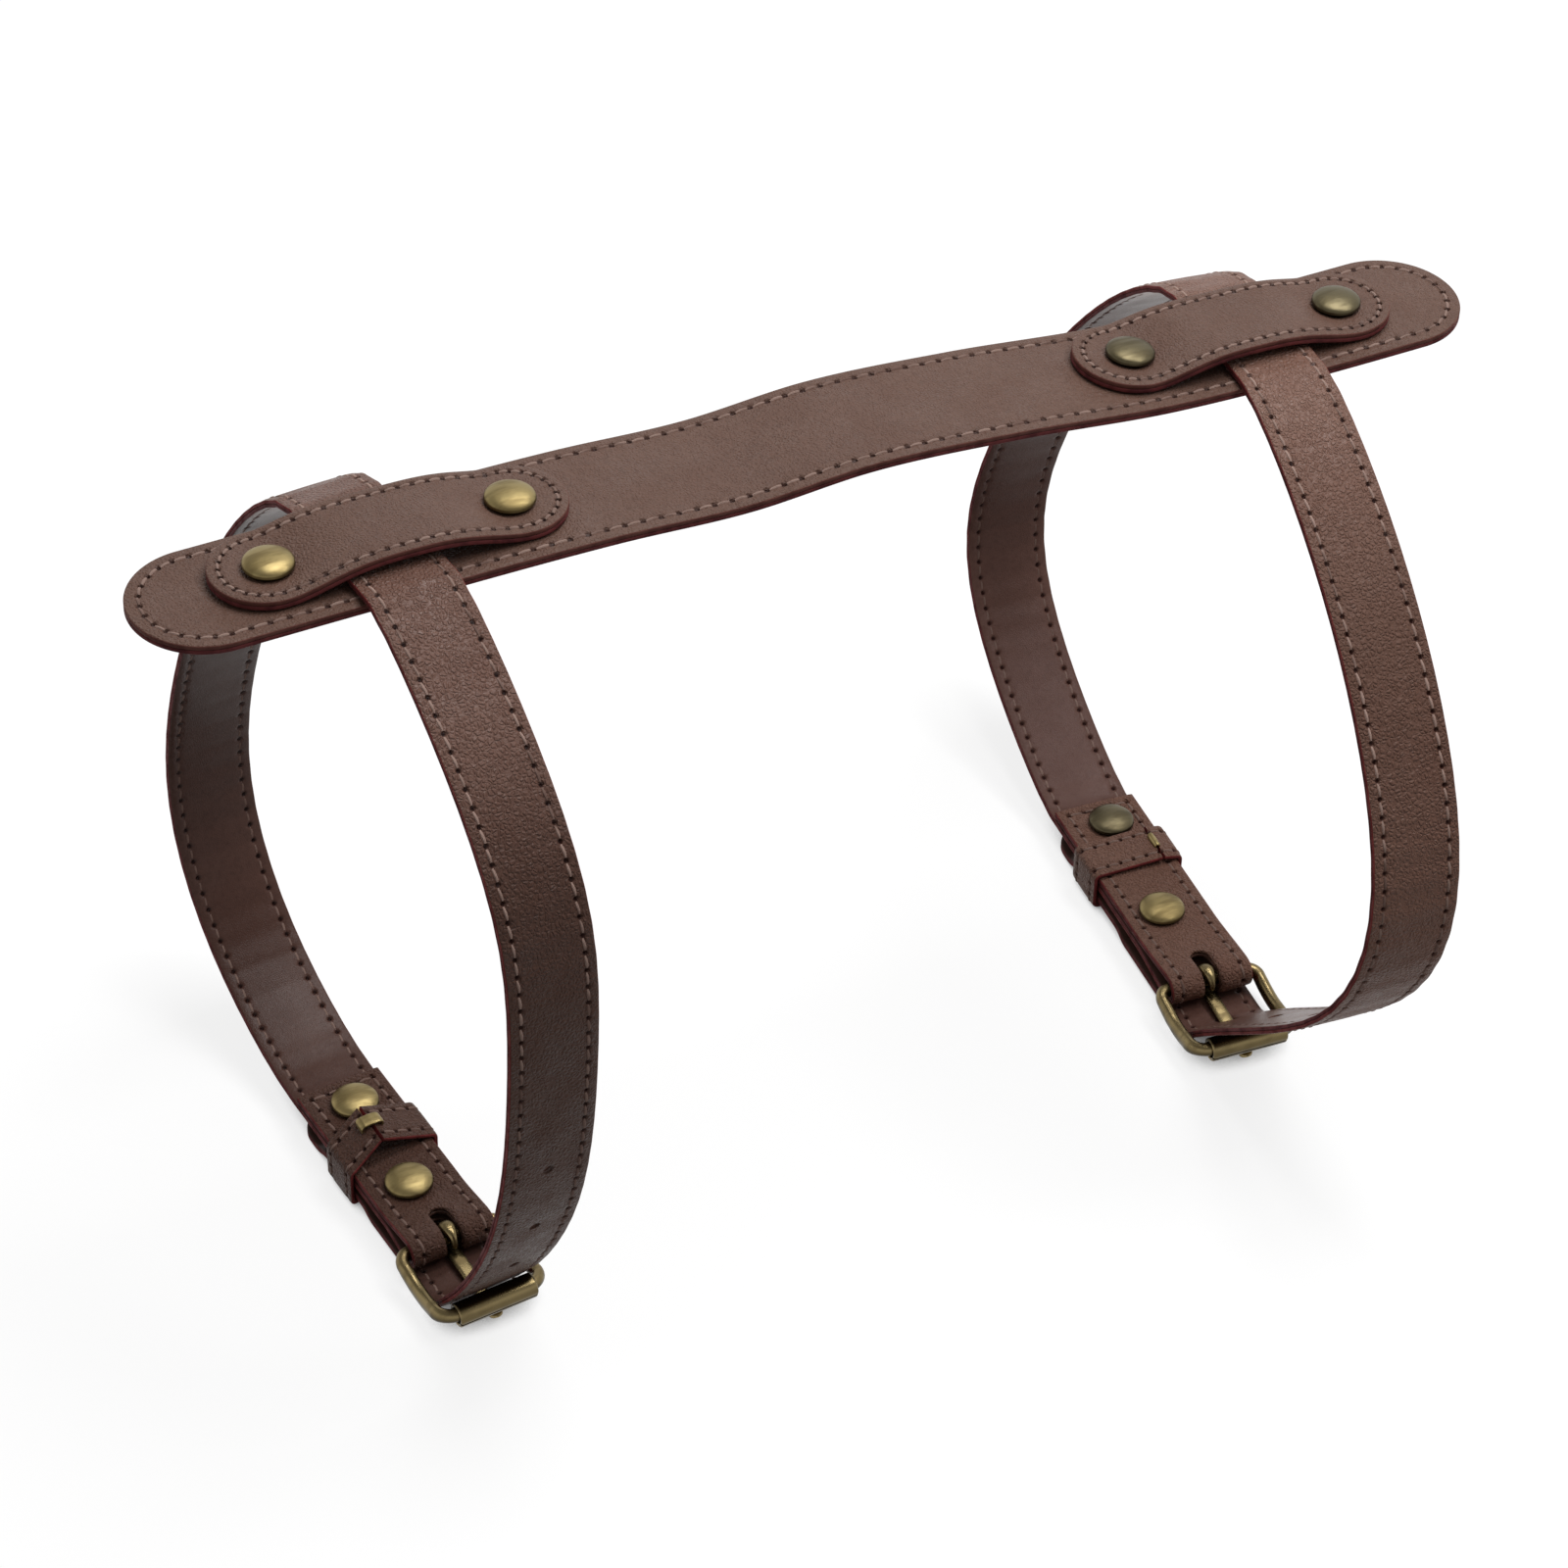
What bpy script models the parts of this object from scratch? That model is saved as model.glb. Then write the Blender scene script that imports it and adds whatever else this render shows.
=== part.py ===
"""Two-strap leather carrier: a sewn carry handle with two buckled strap loops.

Lengths are metres and +Z is up. X runs along the handle and +Y points to the rear. The loops stand
on the plane Z = 0, and the origin lies there under the middle of the whole carrier.
"""

import math
from dataclasses import dataclass

import bmesh
import bpy
import numpy as np
from mathutils import Matrix, Vector

MM = 0.001

# Clearances
SEAT = 0.3 * MM  # between pieces that rest on each other
GLUE = 0.1 * MM  # glue line between the two plies of a sewn piece
PASS = 0.4 * MM  # room around a strap where it passes through something
RUN = 0.35 * MM  # running clearance of the roller and the tongue on the buckle frame

# Carry handle
HANDLE_LENGTH = 334 * MM
HANDLE_WIDTH = 35 * MM
HANDLE_PLY = 1.3 * MM
# Height of the handle's top face along its length: (place, height), with place 0 at the middle and
# 1 where the bands cross. The handle sags towards the longer right loop and waves in the middle.
HANDLE_RISE = (
    (-1.57, 187.8 * MM),
    (-1.00, 186.8 * MM),
    (-0.56, 185.4 * MM),
    (-0.26, 183.3 * MM),
    (0.02, 184.4 * MM),
    (0.37, 181.2 * MM),
    (0.75, 175.8 * MM),
    (1.00, 174.0 * MM),
    (1.57, 172.5 * MM),
)

# Bands that hold the straps to the handle
BAND_SPACING = 213.4 * MM  # between the middles of the two bands
BAND_WIDTH = 27 * MM
BAND_PLY = 1.3 * MM
BAND_RAMP = 6.9 * MM  # from the full height over the strap down to the edge of a rivet cap
BAND_UNDER_CAP = 1 * MM  # how far that slope goes on under the cap
BAND_END = 13.2 * MM  # from a rivet to the end of the band
TUNNEL_PLAY = 9.4 * MM  # how far the strap can move sideways under the band

# Straps
STRAP_WIDTH = 21.8 * MM
STRAP_PLY = 1.0 * MM
FLAP_PAST_RIVET = 9 * MM  # end of the folded-back flap, from its far rivet
TAIL_PAST_FLAP = 2.5 * MM  # how far the free end lies past the end of the flap
TAIL_TIP = 9 * MM  # length of the rounded tip of the free end
TAIL_BEND = 6 * MM  # radius of the bend where the strap leaves the buckle
HOLE_DIAMETER = 3.2 * MM
HOLE_PITCH = 22.7 * MM
FIRST_FREE_HOLE = 30 * MM  # from the hole in use to the first free one above it
SPARE_TAIL_HOLES = 2
STATION = 8 * MM  # spacing of the outline's points along the free runs of a strap

# Rivets with domed caps
CAP_DIAMETER = 11.6 * MM
CAP_HEIGHT = 2.6 * MM
CAP_RIM = 0.7 * MM
BASE_DIAMETER = 8.5 * MM
BASE_HEIGHT = 1.0 * MM
STEM_DIAMETER = 3.5 * MM
SOCKET_DEPTH = 1.5 * MM

# Keeper, a loose loop round the strap layers, closed by a staple
KEEPER_WIDTH = 12.8 * MM
KEEPER_PLY = 1.2 * MM
STAPLE_LENGTH = 6.6 * MM
STAPLE_WIDTH = 3.0 * MM
STAPLE_HEIGHT = 0.8 * MM

# Buckle
FRAME_WIRE = 3.2 * MM
FRAME_ARM_DEPTH = 4.0 * MM  # height of the arms' section, which is a flattened wire
FRAME_LENGTH = 23 * MM  # from the fold bar to the roller bar
FRAME_CORNER = 2.7 * MM
FRAME_PLAY = 0.7 * MM  # beside the strap in the frame
FRAME_BOW = 2.2 * MM  # how far the arms arch away from the inside of the loop
FOLD_GAP = 0.9 * MM  # between the fold and the tail under it
ROLLER_BAR_HEIGHT = 6.4 * MM
ROLLER_DIAMETER = 6.0 * MM
ROLLER_SPLIT = 0.5 * MM
TONGUE_WIDTH = 3.4 * MM
TONGUE_THICKNESS = 1.7 * MM
TONGUE_EYE_THICKNESS = 2.0 * MM
TONGUE_OVERHANG = 1.6 * MM  # past the middle of the roller
SLOT_WIDTH = 4.8 * MM
SLOT_PAST_BAR = 7 * MM
TONGUE_HOLE_LENGTH = 8.8 * MM

# Sizes that follow from the ones above
STRAP_THICKNESS = 2 * STRAP_PLY + GLUE
BAND_THICKNESS = 2 * BAND_PLY + GLUE
HANDLE_THICKNESS = 2 * HANDLE_PLY + GLUE
TUNNEL_WIDTH = STRAP_WIDTH + TUNNEL_PLAY
BAND_RIVET_PITCH = TUNNEL_WIDTH + 2 * BAND_RAMP + CAP_DIAMETER
BAND_LENGTH = BAND_RIVET_PITCH + 2 * BAND_END
STEM_HOLE = STEM_DIAMETER / 2 + SEAT
TAIL_Z = STRAP_THICKNESS / 2
TAIL_LIFT = KEEPER_PLY + SEAT
MAIN_Z = TAIL_Z + TAIL_LIFT + STRAP_THICKNESS + BASE_HEIGHT + 2 * SEAT
FLAP_Z = MAIN_Z + STRAP_THICKNESS + SEAT
FOLD_RADIUS = FRAME_WIRE / 2 + SEAT + STRAP_THICKNESS / 2
FOLD_BAR_HEIGHT = STRAP_THICKNESS + FOLD_GAP + STRAP_THICKNESS / 2 + FOLD_RADIUS
ROLLER_PASS = ROLLER_DIAMETER / 2 + RUN + STRAP_THICKNESS / 2
FRAME_HALF = STRAP_WIDTH / 2 + FRAME_PLAY + FRAME_WIRE / 2

LEATHER = (0.075, 0.036, 0.029)
LINING = (0.066, 0.033, 0.027)
BRASS = (0.30, 0.22, 0.09)


@dataclass(frozen=True)
class Loop:
    """One strap loop, seen along the handle: y to the rear, z up, from the handle's middle."""

    name: str
    side: int  # -1 at the left end of the handle, 1 at the right
    offset: float  # strap's middle from the band's middle
    yaw: float
    lean: float  # how far the foot hangs to the side of the crossing
    bar_y: float  # the buckle's fold bar
    rear: tuple  # rearmost point
    rear_pull: tuple  # tangent lengths: foot, below and above the rearmost point, crossing
    front: tuple  # frontmost point
    front_pull: tuple  # tangent lengths: crossing, above and below the frontmost point, roller
    arrival: float  # slope at which the strap comes down past the roller
    near_rivet: float  # flap's nearer rivet from the fold bar
    rivet_pitch: float  # between the flap's two rivets
    near_side: float  # nearer rivet from the strap's middle line
    far_side: float  # farther rivet from the strap's middle line
    keeper: float  # keeper's middle from the nearer rivet
    joint: float  # keeper's butt joint from the strap's middle line
    crown: float  # how far the keeper stands off the flap at its joint
    skew: float  # how far the keeper's left side lies nearer the buckle than its right side
    sag: float  # how far the keeper's sides hang towards the buckle from its joint
    free_holes: int  # punched holes above the one in use

    @property
    def far_rivet(self):
        """Flap's farther rivet from the fold bar."""
        return self.near_rivet + self.rivet_pitch

    @property
    def flap_end(self):
        """Y of the end of the folded flap."""
        return self.bar_y + self.far_rivet + FLAP_PAST_RIVET


LOOPS = (
    Loop(
        name="left",
        side=-1,
        offset=-4.0 * MM,
        yaw=math.radians(3.5),
        lean=-4.9 * MM,
        bar_y=-32.0 * MM,
        rear=(94.4 * MM, 59.2 * MM),
        rear_pull=(88 * MM, 101 * MM, 113 * MM, 84 * MM),
        front=(-81.1 * MM, 127.9 * MM),
        front_pull=(28 * MM, 67 * MM, 131 * MM, 170 * MM),
        arrival=math.radians(51),
        near_rivet=17.9 * MM,
        rivet_pitch=30.6 * MM,
        near_side=-1.0 * MM,
        far_side=0.3 * MM,
        keeper=17.9 * MM,
        joint=-2.0 * MM,
        crown=4.2 * MM,
        skew=3.0 * MM,
        sag=2.0 * MM,
        free_holes=3,
    ),
    Loop(
        name="right",
        side=1,
        offset=4.4 * MM,
        yaw=math.radians(-5.9),
        lean=-14.9 * MM,
        bar_y=-36.6 * MM,
        rear=(104.5 * MM, 50.0 * MM),
        rear_pull=(34 * MM, 60 * MM, 148 * MM, 72 * MM),
        front=(-118.3 * MM, 84.6 * MM),
        front_pull=(59 * MM, 116 * MM, 87 * MM, 116 * MM),
        arrival=math.radians(44),
        near_rivet=24.5 * MM,
        rivet_pitch=35.9 * MM,
        near_side=-1.2 * MM,
        far_side=1.0 * MM,
        keeper=23.0 * MM,
        joint=7.0 * MM,
        crown=0.8 * MM,
        skew=0.0,
        sag=0.0,
        free_holes=2,
    ),
)


def clear_scene():
    """Remove whatever the file holds."""
    for thing in list(bpy.data.objects):
        bpy.data.objects.remove(thing, do_unlink=True)


def make_material(name, colour, roughness, metallic):
    """Principled material of one finish."""
    material = bpy.data.materials.new(name)
    material.use_nodes = True
    shader = material.node_tree.nodes["Principled BSDF"]
    shader.inputs["Base Color"].default_value = (*colour, 1.0)
    shader.inputs["Roughness"].default_value = roughness
    shader.inputs["Metallic"].default_value = metallic
    return material


def make_empty(name, parent=None, location=(0, 0, 0), yaw=0.0):
    """Empty that carries a group of pieces."""
    empty = bpy.data.objects.new(name, None)
    bpy.context.collection.objects.link(empty)
    empty.parent = parent
    empty.location = location
    empty.rotation_euler.z = yaw
    return empty


def make_object(name, mesh_data, parent, material=None, location=(0, 0, 0)):
    """Named object from a bmesh, with its faces turned outwards."""
    bmesh.ops.recalc_face_normals(mesh_data, faces=mesh_data.faces[:])
    mesh = bpy.data.meshes.new(name)
    mesh_data.to_mesh(mesh)
    mesh_data.free()
    mesh.shade_smooth()
    mesh.set_sharp_from_angle(angle=math.radians(35))
    piece = bpy.data.objects.new(name, mesh)
    bpy.context.collection.objects.link(piece)
    piece.parent = parent
    piece.location = location
    if material:
        mesh.materials.append(material)
    return piece


def make_cutter(name, mesh_data, parent):
    """Hidden object that only cuts others."""
    cutter = make_object(name, mesh_data, parent)
    cutter.hide_render = True
    cutter.display_type = "WIRE"
    return cutter


def punch(piece, cutter):
    """Cut the cutter's shape out of a piece."""
    cut = piece.modifiers.new("punch", "BOOLEAN")
    cut.operation = "DIFFERENCE"
    cut.solver = "EXACT"
    cut.object = cutter


def round_edges(piece, width):
    """Break the sharp edges of a piece."""
    rounding = piece.modifiers.new("rounding", "BEVEL")
    rounding.width = width
    rounding.segments = 1
    rounding.angle_limit = math.radians(50)


def loft(rings, closed=False, into=None):
    """Skin a row of rings of points. An open row gets a flat cap at each end."""
    mesh = into or bmesh.new()
    grid = [[mesh.verts.new(point) for point in ring] for ring in rings]
    around = len(grid[0])
    pairs = list(zip(grid, grid[1:]))
    if closed:
        pairs.append((grid[-1], grid[0]))
    for near, far in pairs:
        for i in range(around):
            j = (i + 1) % around
            mesh.faces.new((near[i], near[j], far[j], far[i]))
    if not closed:
        mesh.faces.new(grid[0][::-1])
        mesh.faces.new(grid[-1])
    return mesh


def tangents(path):
    """Unit tangents of a path of points, from their neighbours."""
    steps = np.diff(path, axis=0)
    steps /= np.linalg.norm(steps, axis=1)[:, None]
    sums = np.vstack([steps[:1], steps[:-1] + steps[1:], steps[-1:]])
    return sums / np.linalg.norm(sums, axis=1)[:, None]


def ribbon(path, half_width, low, high):
    """Rings of a flat strip that follows a path in a plane.

    The strip lies between the offsets low and high to the right of the path. Each ring has four
    points (along, up, across), where across runs over the strip's width.
    """
    along = tangents(path)
    right = np.stack([along[:, 1], -along[:, 0]], axis=1)
    count = len(path)
    half = np.broadcast_to(half_width, count)
    inner = path + right * np.broadcast_to(low, count)[:, None]
    outer = path + right * np.broadcast_to(high, count)[:, None]
    rings = np.empty((count, 4, 3))
    for corner, (face, sign) in enumerate(((inner, -1), (inner, 1), (outer, 1), (outer, -1))):
        rings[:, corner, :2] = face
        rings[:, corner, 2] = sign * half
    return rings


def path_length(path):
    """Distance along a path at each of its points."""
    return np.concatenate([[0], np.cumsum(np.linalg.norm(np.diff(path, axis=0), axis=1))])


def point_along(path, distance):
    """Points at the given distances along a path."""
    along = path_length(path)
    return np.stack([np.interp(distance, along, path[:, axis]) for axis in (0, 1)], axis=-1)


def hermite(start, start_pull, end, end_pull, spacing):
    """Evenly spaced points on a cubic curve between two points with the given tangents."""
    u = np.linspace(0, 1, 201)[:, None]
    start, start_pull, end, end_pull = map(np.asarray, (start, start_pull, end, end_pull))
    curve = (
        (2 * u**3 - 3 * u**2 + 1) * start
        + (u**3 - 2 * u**2 + u) * start_pull
        + (3 * u**2 - 2 * u**3) * end
        + (u**3 - u**2) * end_pull
    )
    length = path_length(curve)[-1]
    return point_along(curve, np.linspace(0, length, max(3, round(length / spacing) + 1)))


def arc(centre, radius, start, end, count):
    """Points on a circle from one angle to another."""
    angle = np.linspace(start, end, count)
    return np.stack([centre[0] + radius * np.cos(angle), centre[1] + radius * np.sin(angle)], axis=1)


def join_runs(*runs):
    """One path from runs that start where the last one ended."""
    return np.vstack([runs[0]] + [run[1:] for run in runs[1:]])


def ease(value):
    """Smooth step from 0 to 1."""
    u = np.clip(value, 0, 1)
    return u * u * (3 - 2 * u)


def ramp(value):
    """Straight rise from 0 to 1 with rounded ends."""
    u = np.clip(value, 0, 1)
    bend = 0.25
    low = u**2 / (2 * bend * (1 - bend))
    high = 1 - (1 - u) ** 2 / (2 * bend * (1 - bend))
    return np.select([u < bend, u < 1 - bend], [low, (u - bend / 2) / (1 - bend)], high)


def relaxed(path):
    """Even out the bends of a strap's free run, as stiff leather does. Its ends stay as they are."""
    along = path_length(path)
    share = ease(np.minimum(along, along[-1] - along) / (4 * STATION))[1:-1, None]
    for _ in range(6):
        pull = (path[:-2] + path[2:]) / 2 - path[1:-1]
        path = np.vstack([path[:1], path[1:-1] + 0.5 * share * pull, path[-1:]])
    return path


def turned(profile, sides, into=None, place=Matrix()):
    """Turn a profile of (radius, height) points about Z. It starts and ends on the axis."""
    mesh = into or bmesh.new()
    angles = [2 * math.pi * step / sides for step in range(sides)]
    rows = []
    for radius, height in profile[1:-1]:
        ring = [(radius * math.cos(a), radius * math.sin(a), height) for a in angles]
        rows.append([mesh.verts.new(place @ Vector(point)) for point in ring])
    first = mesh.verts.new(place @ Vector((0, 0, profile[0][1])))
    last = mesh.verts.new(place @ Vector((0, 0, profile[-1][1])))
    for i in range(sides):
        j = (i + 1) % sides
        mesh.faces.new((first, rows[0][i], rows[0][j]))
        mesh.faces.new((last, rows[-1][j], rows[-1][i]))
        for near, far in zip(rows, rows[1:]):
            mesh.faces.new((near[i], far[i], far[j], near[j]))
    return mesh


def pin(radius, low, high, into=None, place=Matrix()):
    """Plain round pin along Z, used to cut holes."""
    return turned(((0, high), (radius, high), (radius, low), (0, low)), 10, into, place)


def oblong_pin(width, length, low, high, into=None, place=Matrix()):
    """Pin along Z with a stadium outline that is long in Y, used to cut slots."""
    mesh = into or bmesh.new()
    radius = width / 2
    straight = (length - width) / 2
    ends = arc((0, straight), radius, 0, math.pi, 6)
    outline = np.vstack([ends, -ends])
    rings = [[place @ Vector((x, y, z)) for x, y in outline] for z in (low, high)]
    return loft(rings, into=mesh)


def handle_height(x):
    """Height of the handle's top face: a smooth curve through HANDLE_RISE."""
    place, height = np.array(HANDLE_RISE).T
    place = place * BAND_SPACING / 2
    slope = np.gradient(height, place)
    x = np.atleast_1d(x)
    i = np.clip(np.searchsorted(place, x) - 1, 0, len(place) - 2)
    span = place[i + 1] - place[i]
    u = np.clip((x - place[i]) / span, 0, 1)
    return (
        (2 * u**3 - 3 * u**2 + 1) * height[i]
        + (u**3 - 2 * u**2 + u) * span * slope[i]
        + (3 * u**2 - 2 * u**3) * height[i + 1]
        + (u**3 - u**2) * span * slope[i + 1]
    )


def handle_slope(x):
    """Slope of the handle's top face along X."""
    step = 1 * MM
    return float((handle_height(x + step) - handle_height(x - step))[0] / (2 * step))


def stadium_stations(length, width, spacing):
    """Stations along a strip with round ends, and the half width at each."""
    radius = width / 2
    turn = np.linspace(0, math.pi / 2, 8)
    end = radius * np.sin(turn)
    middle_count = int(round((length - width) / spacing))
    middle = np.linspace(-(length / 2 - radius), length / 2 - radius, middle_count + 1)
    right = middle[-1] + end[1:]
    stations = np.concatenate([-right[::-1], middle, right])
    overhang = np.clip(np.abs(stations) - middle[-1], 0, radius)
    half = np.sqrt(np.maximum(radius**2 - overhang**2, (0.03 * radius) ** 2))
    return stations, half


def band_middle(loop):
    """X of the middle of a loop's band."""
    return loop.side * BAND_SPACING / 2


def band_seat(loop, x):
    """Height of a band's underside: on the handle at its rivets and over the strap between them."""
    room = STRAP_THICKNESS + 2 * PASS
    flat = TUNNEL_WIDTH / 2
    foot = BAND_RIVET_PITCH / 2 - CAP_DIAMETER / 2 + BAND_UNDER_CAP
    away = np.abs(x - band_middle(loop))
    return handle_height(x) + SEAT + (room - SEAT) * (1 - ramp((away - flat) / (foot - flat)))


def rivet_places(loop):
    """Word for each of the two rivets of a loop's band, and its X."""
    away = loop.side * BAND_RIVET_PITCH / 2
    return ("outer", band_middle(loop) + away), ("inner", band_middle(loop) - away)


def level_place(x, z, slope):
    """Placement on the middle of a face that slopes along X."""
    return Matrix.Translation((x, 0, z)) @ Matrix.Rotation(-math.atan(slope), 4, "Y")


def make_plies(names, path, half_width, ply, parent, cutter, materials):
    """Two plies of a strip in the X-Z plane, on top of each other above the path."""
    top = (-(2 * ply + GLUE), -(ply + GLUE))
    for name, (low, high), material in zip(names, (top, (-ply, 0)), materials):
        rings = ribbon(path, half_width, low, high)[:, :, (0, 2, 1)]
        piece = make_object(name, loft(rings), parent, material)
        punch(piece, cutter)


def make_rivet(name, parent, place, stack, material):
    """Domed cap and the post under it. The place is on top of a stack of leather."""
    rim = CAP_DIAMETER / 2
    dome_height = CAP_HEIGHT - CAP_RIM
    cap = [
        (0, CAP_HEIGHT),
        *((rim * math.cos(a), CAP_RIM + dome_height * math.sin(a)) for a in np.radians((70, 48, 28, 12, 0))),
        (0.95 * rim, 0),
        (STEM_HOLE, 0),
        (STEM_HOLE, SOCKET_DEPTH),
        (0, SOCKET_DEPTH),
    ]
    lifted = place @ Matrix.Translation((0, 0, SEAT))
    make_object(f"{name}_cap", turned(cap, 18), parent, material).matrix_local = lifted
    stem = STEM_DIAMETER / 2
    base = BASE_DIAMETER / 2
    floor = -(stack + SEAT)
    post = [
        (0, SOCKET_DEPTH),
        (stem, SOCKET_DEPTH),
        (stem, floor),
        (base, floor),
        (base, floor - 0.4 * BASE_HEIGHT),
        (0.75 * base, floor - BASE_HEIGHT),
        (0, floor - BASE_HEIGHT),
    ]
    make_object(f"{name}_post", turned(post, 12), parent, material).matrix_local = place


def make_handle(root, leather, lining, brass):
    """Carry handle, its two bands and their rivets."""
    cutter = bmesh.new()
    reach = HANDLE_THICKNESS + BAND_THICKNESS + STRAP_THICKNESS
    spots = []
    for loop in LOOPS:
        for word, x in rivet_places(loop):
            place = level_place(x, handle_height(x)[0], handle_slope(x))
            spots.append((f"{loop.name}_band_{word}_rivet", place))
            pin(STEM_HOLE, -reach, reach, into=cutter, place=place)
    stem_holes = make_cutter("handle_stem_holes", cutter, root)

    stations, half = stadium_stations(HANDLE_LENGTH, HANDLE_WIDTH, 8 * MM)
    underside = np.stack([stations, handle_height(stations) - HANDLE_THICKNESS], axis=1)
    names = ("handle_top", "handle_lining")
    make_plies(names, underside, half, HANDLE_PLY, root, stem_holes, (leather, lining))

    for loop in LOOPS:
        stations, half = stadium_stations(BAND_LENGTH, BAND_WIDTH, 2.4 * MM)
        stations = stations + band_middle(loop)
        underside = np.stack([stations, band_seat(loop, stations)], axis=1)
        names = (f"{loop.name}_band_top", f"{loop.name}_band_lining")
        make_plies(names, underside, half, BAND_PLY, root, stem_holes, (leather, lining))

    upper = SEAT + BAND_THICKNESS
    for name, place in spots:
        lifted = place @ Matrix.Translation((0, 0, upper))
        make_rivet(name, root, lifted, upper + HANDLE_THICKNESS, brass)


def crossing(loop):
    """X of the strap's middle on the handle, its height there and the handle's slope."""
    x = band_middle(loop) + loop.offset
    return x, handle_height(x)[0] + PASS + STRAP_THICKNESS / 2, handle_slope(x)


def roller_centre(loop):
    """Middle of the roller bar in the loop's plane."""
    return loop.bar_y - FRAME_LENGTH, ROLLER_BAR_HEIGHT


def tail_run(loop, start, end):
    """The tail on the ground from start to end, lifted over the keeper's run between the rivets."""
    middle = loop.bar_y + loop.near_rivet + loop.rivet_pitch / 2
    flat = loop.rivet_pitch / 2 - CAP_DIAMETER / 2 - SEAT
    ramp = np.linspace(0, CAP_DIAMETER / 2 - SEAT, 5)
    up = middle - flat - ramp[::-1]
    down = middle + flat + ramp
    tip = end - TAIL_TIP * (1 - np.sin(np.linspace(0, math.pi / 2, 6)))
    y = np.concatenate([[start], up, down, tip])
    lift = 1 - ease((np.abs(y - middle) - flat) / ramp[-1])
    return np.stack([y, TAIL_Z + TAIL_LIFT * lift], axis=1)


def strap_path(loop):
    """Middle line of a strap, from the end of its folded flap round the loop to its free tip.

    Returns the points, and the index of the first point past the roller.
    """
    bar = (loop.bar_y, FOLD_BAR_HEIGHT)
    level = loop.bar_y + loop.near_rivet - CAP_DIAMETER / 2
    spread = 0.6 * (level - loop.bar_y)
    foot = loop.flap_end + TAIL_PAST_FLAP
    _, top, _ = crossing(loop)
    edge = HANDLE_WIDTH / 2 + 2 * PASS
    foot_pull, below_pull, above_pull, rear_pull = loop.rear_pull
    over_pull, high_pull, low_pull, roller_pull = loop.front_pull
    slope = loop.arrival
    heading = np.array([math.cos(slope), -math.sin(slope)])
    beside = np.array([math.sin(slope), math.cos(slope)])
    past = np.array(roller_centre(loop)) + ROLLER_PASS * beside
    bend_height = TAIL_Z + TAIL_BEND * (1 - math.cos(slope))
    bend = past + heading * (past[1] - bend_height) / math.sin(slope)
    bend_centre = (bend[0] + TAIL_BEND * math.sin(slope), TAIL_Z + TAIL_BEND)

    rear_run = join_runs(
        hermite((foot, MAIN_Z), (foot_pull, 0), loop.rear, (0, below_pull), STATION),
        hermite(loop.rear, (0, above_pull), (edge, top), (-rear_pull, 0), STATION),
    )
    front_run = join_runs(
        hermite((-edge, top), (-over_pull, 0), loop.front, (0, -high_pull), STATION),
        hermite(loop.front, (0, -low_pull), past, roller_pull * heading, STATION),
    )
    before = join_runs(
        np.array([(loop.flap_end, FLAP_Z), (level, FLAP_Z)]),
        hermite((level, FLAP_Z), (-spread, 0), (bar[0], bar[1] + FOLD_RADIUS), (-spread, 0), STATION / 3),
        arc(bar, FOLD_RADIUS, math.pi / 2, 3 * math.pi / 2, 10),
        hermite((bar[0], bar[1] - FOLD_RADIUS), (spread, 0), (level, MAIN_Z), (spread, 0), STATION / 3),
        np.array([(level, MAIN_Z), (foot, MAIN_Z)]),
        relaxed(rear_run),
        np.array([(edge, top), (-edge, top)]),
        relaxed(front_run),
    )
    after = join_runs(
        np.array([past, bend]),
        arc(bend_centre, TAIL_BEND, 3 * math.pi / 2 - slope, 3 * math.pi / 2, 7),
        tail_run(loop, bend_centre[0], foot),
    )
    return join_runs(before, after), len(before)


def hang(loop, points):
    """Lean and twist a strap: flat on the handle at the top and flat on the ground at the foot.

    Takes points (y, z, across) and returns points (x, y, z) from the crossing's place on the ground.
    """
    _, top, slope = crossing(loop)
    y, z, across = np.moveaxis(points, -1, 0)
    rise = ease(z / top)
    return np.stack([across + loop.lean * (1 - rise), y, z + slope * across * rise], axis=-1)


def flap_rivets(loop):
    """Word for each rivet of a flap, its place beside the strap's middle line and from the fold bar."""
    return ("near", loop.near_side, loop.near_rivet), ("far", loop.far_side, loop.far_rivet)


def tongue_path(loop):
    """Middle line of a tongue from its eye round the fold bar to its tip, from the bar's middle."""
    eye = FRAME_WIRE / 2 + RUN + TONGUE_EYE_THICKNESS / 2
    roller_y, roller_z = roller_centre(loop)
    under = roller_z - ROLLER_DIAMETER / 2 - RUN - TONGUE_THICKNESS / 2 - FOLD_BAR_HEIGHT
    tip = (roller_y - loop.bar_y - TONGUE_OVERHANG, under)
    curl = arc((0, 0), eye, math.radians(200), math.radians(-90), 16)
    reach = -tip[0]
    shaft = hermite((0, -eye), (-reach, 0), tip, (-reach, 0), STATION / 2)
    return join_runs(curl, shaft)


def tongue_crossing(loop, path, start):
    """Distance along the strap at which it meets the tongue, past the point with the index start."""
    tongue = tongue_path(loop) + np.array([loop.bar_y, FOLD_BAR_HEIGHT])
    shaft = tongue[tongue[:, 0] < loop.bar_y - FOLD_RADIUS - STRAP_THICKNESS][::-1]
    distance = path_length(path)[start - 1] + np.linspace(0, 4 * TAIL_BEND, 400)
    points = point_along(path, distance)
    gap = np.abs(points[:, 1] - np.interp(points[:, 0], shaft[:, 0], shaft[:, 1]))
    return distance[int(np.argmin(gap))]


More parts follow.
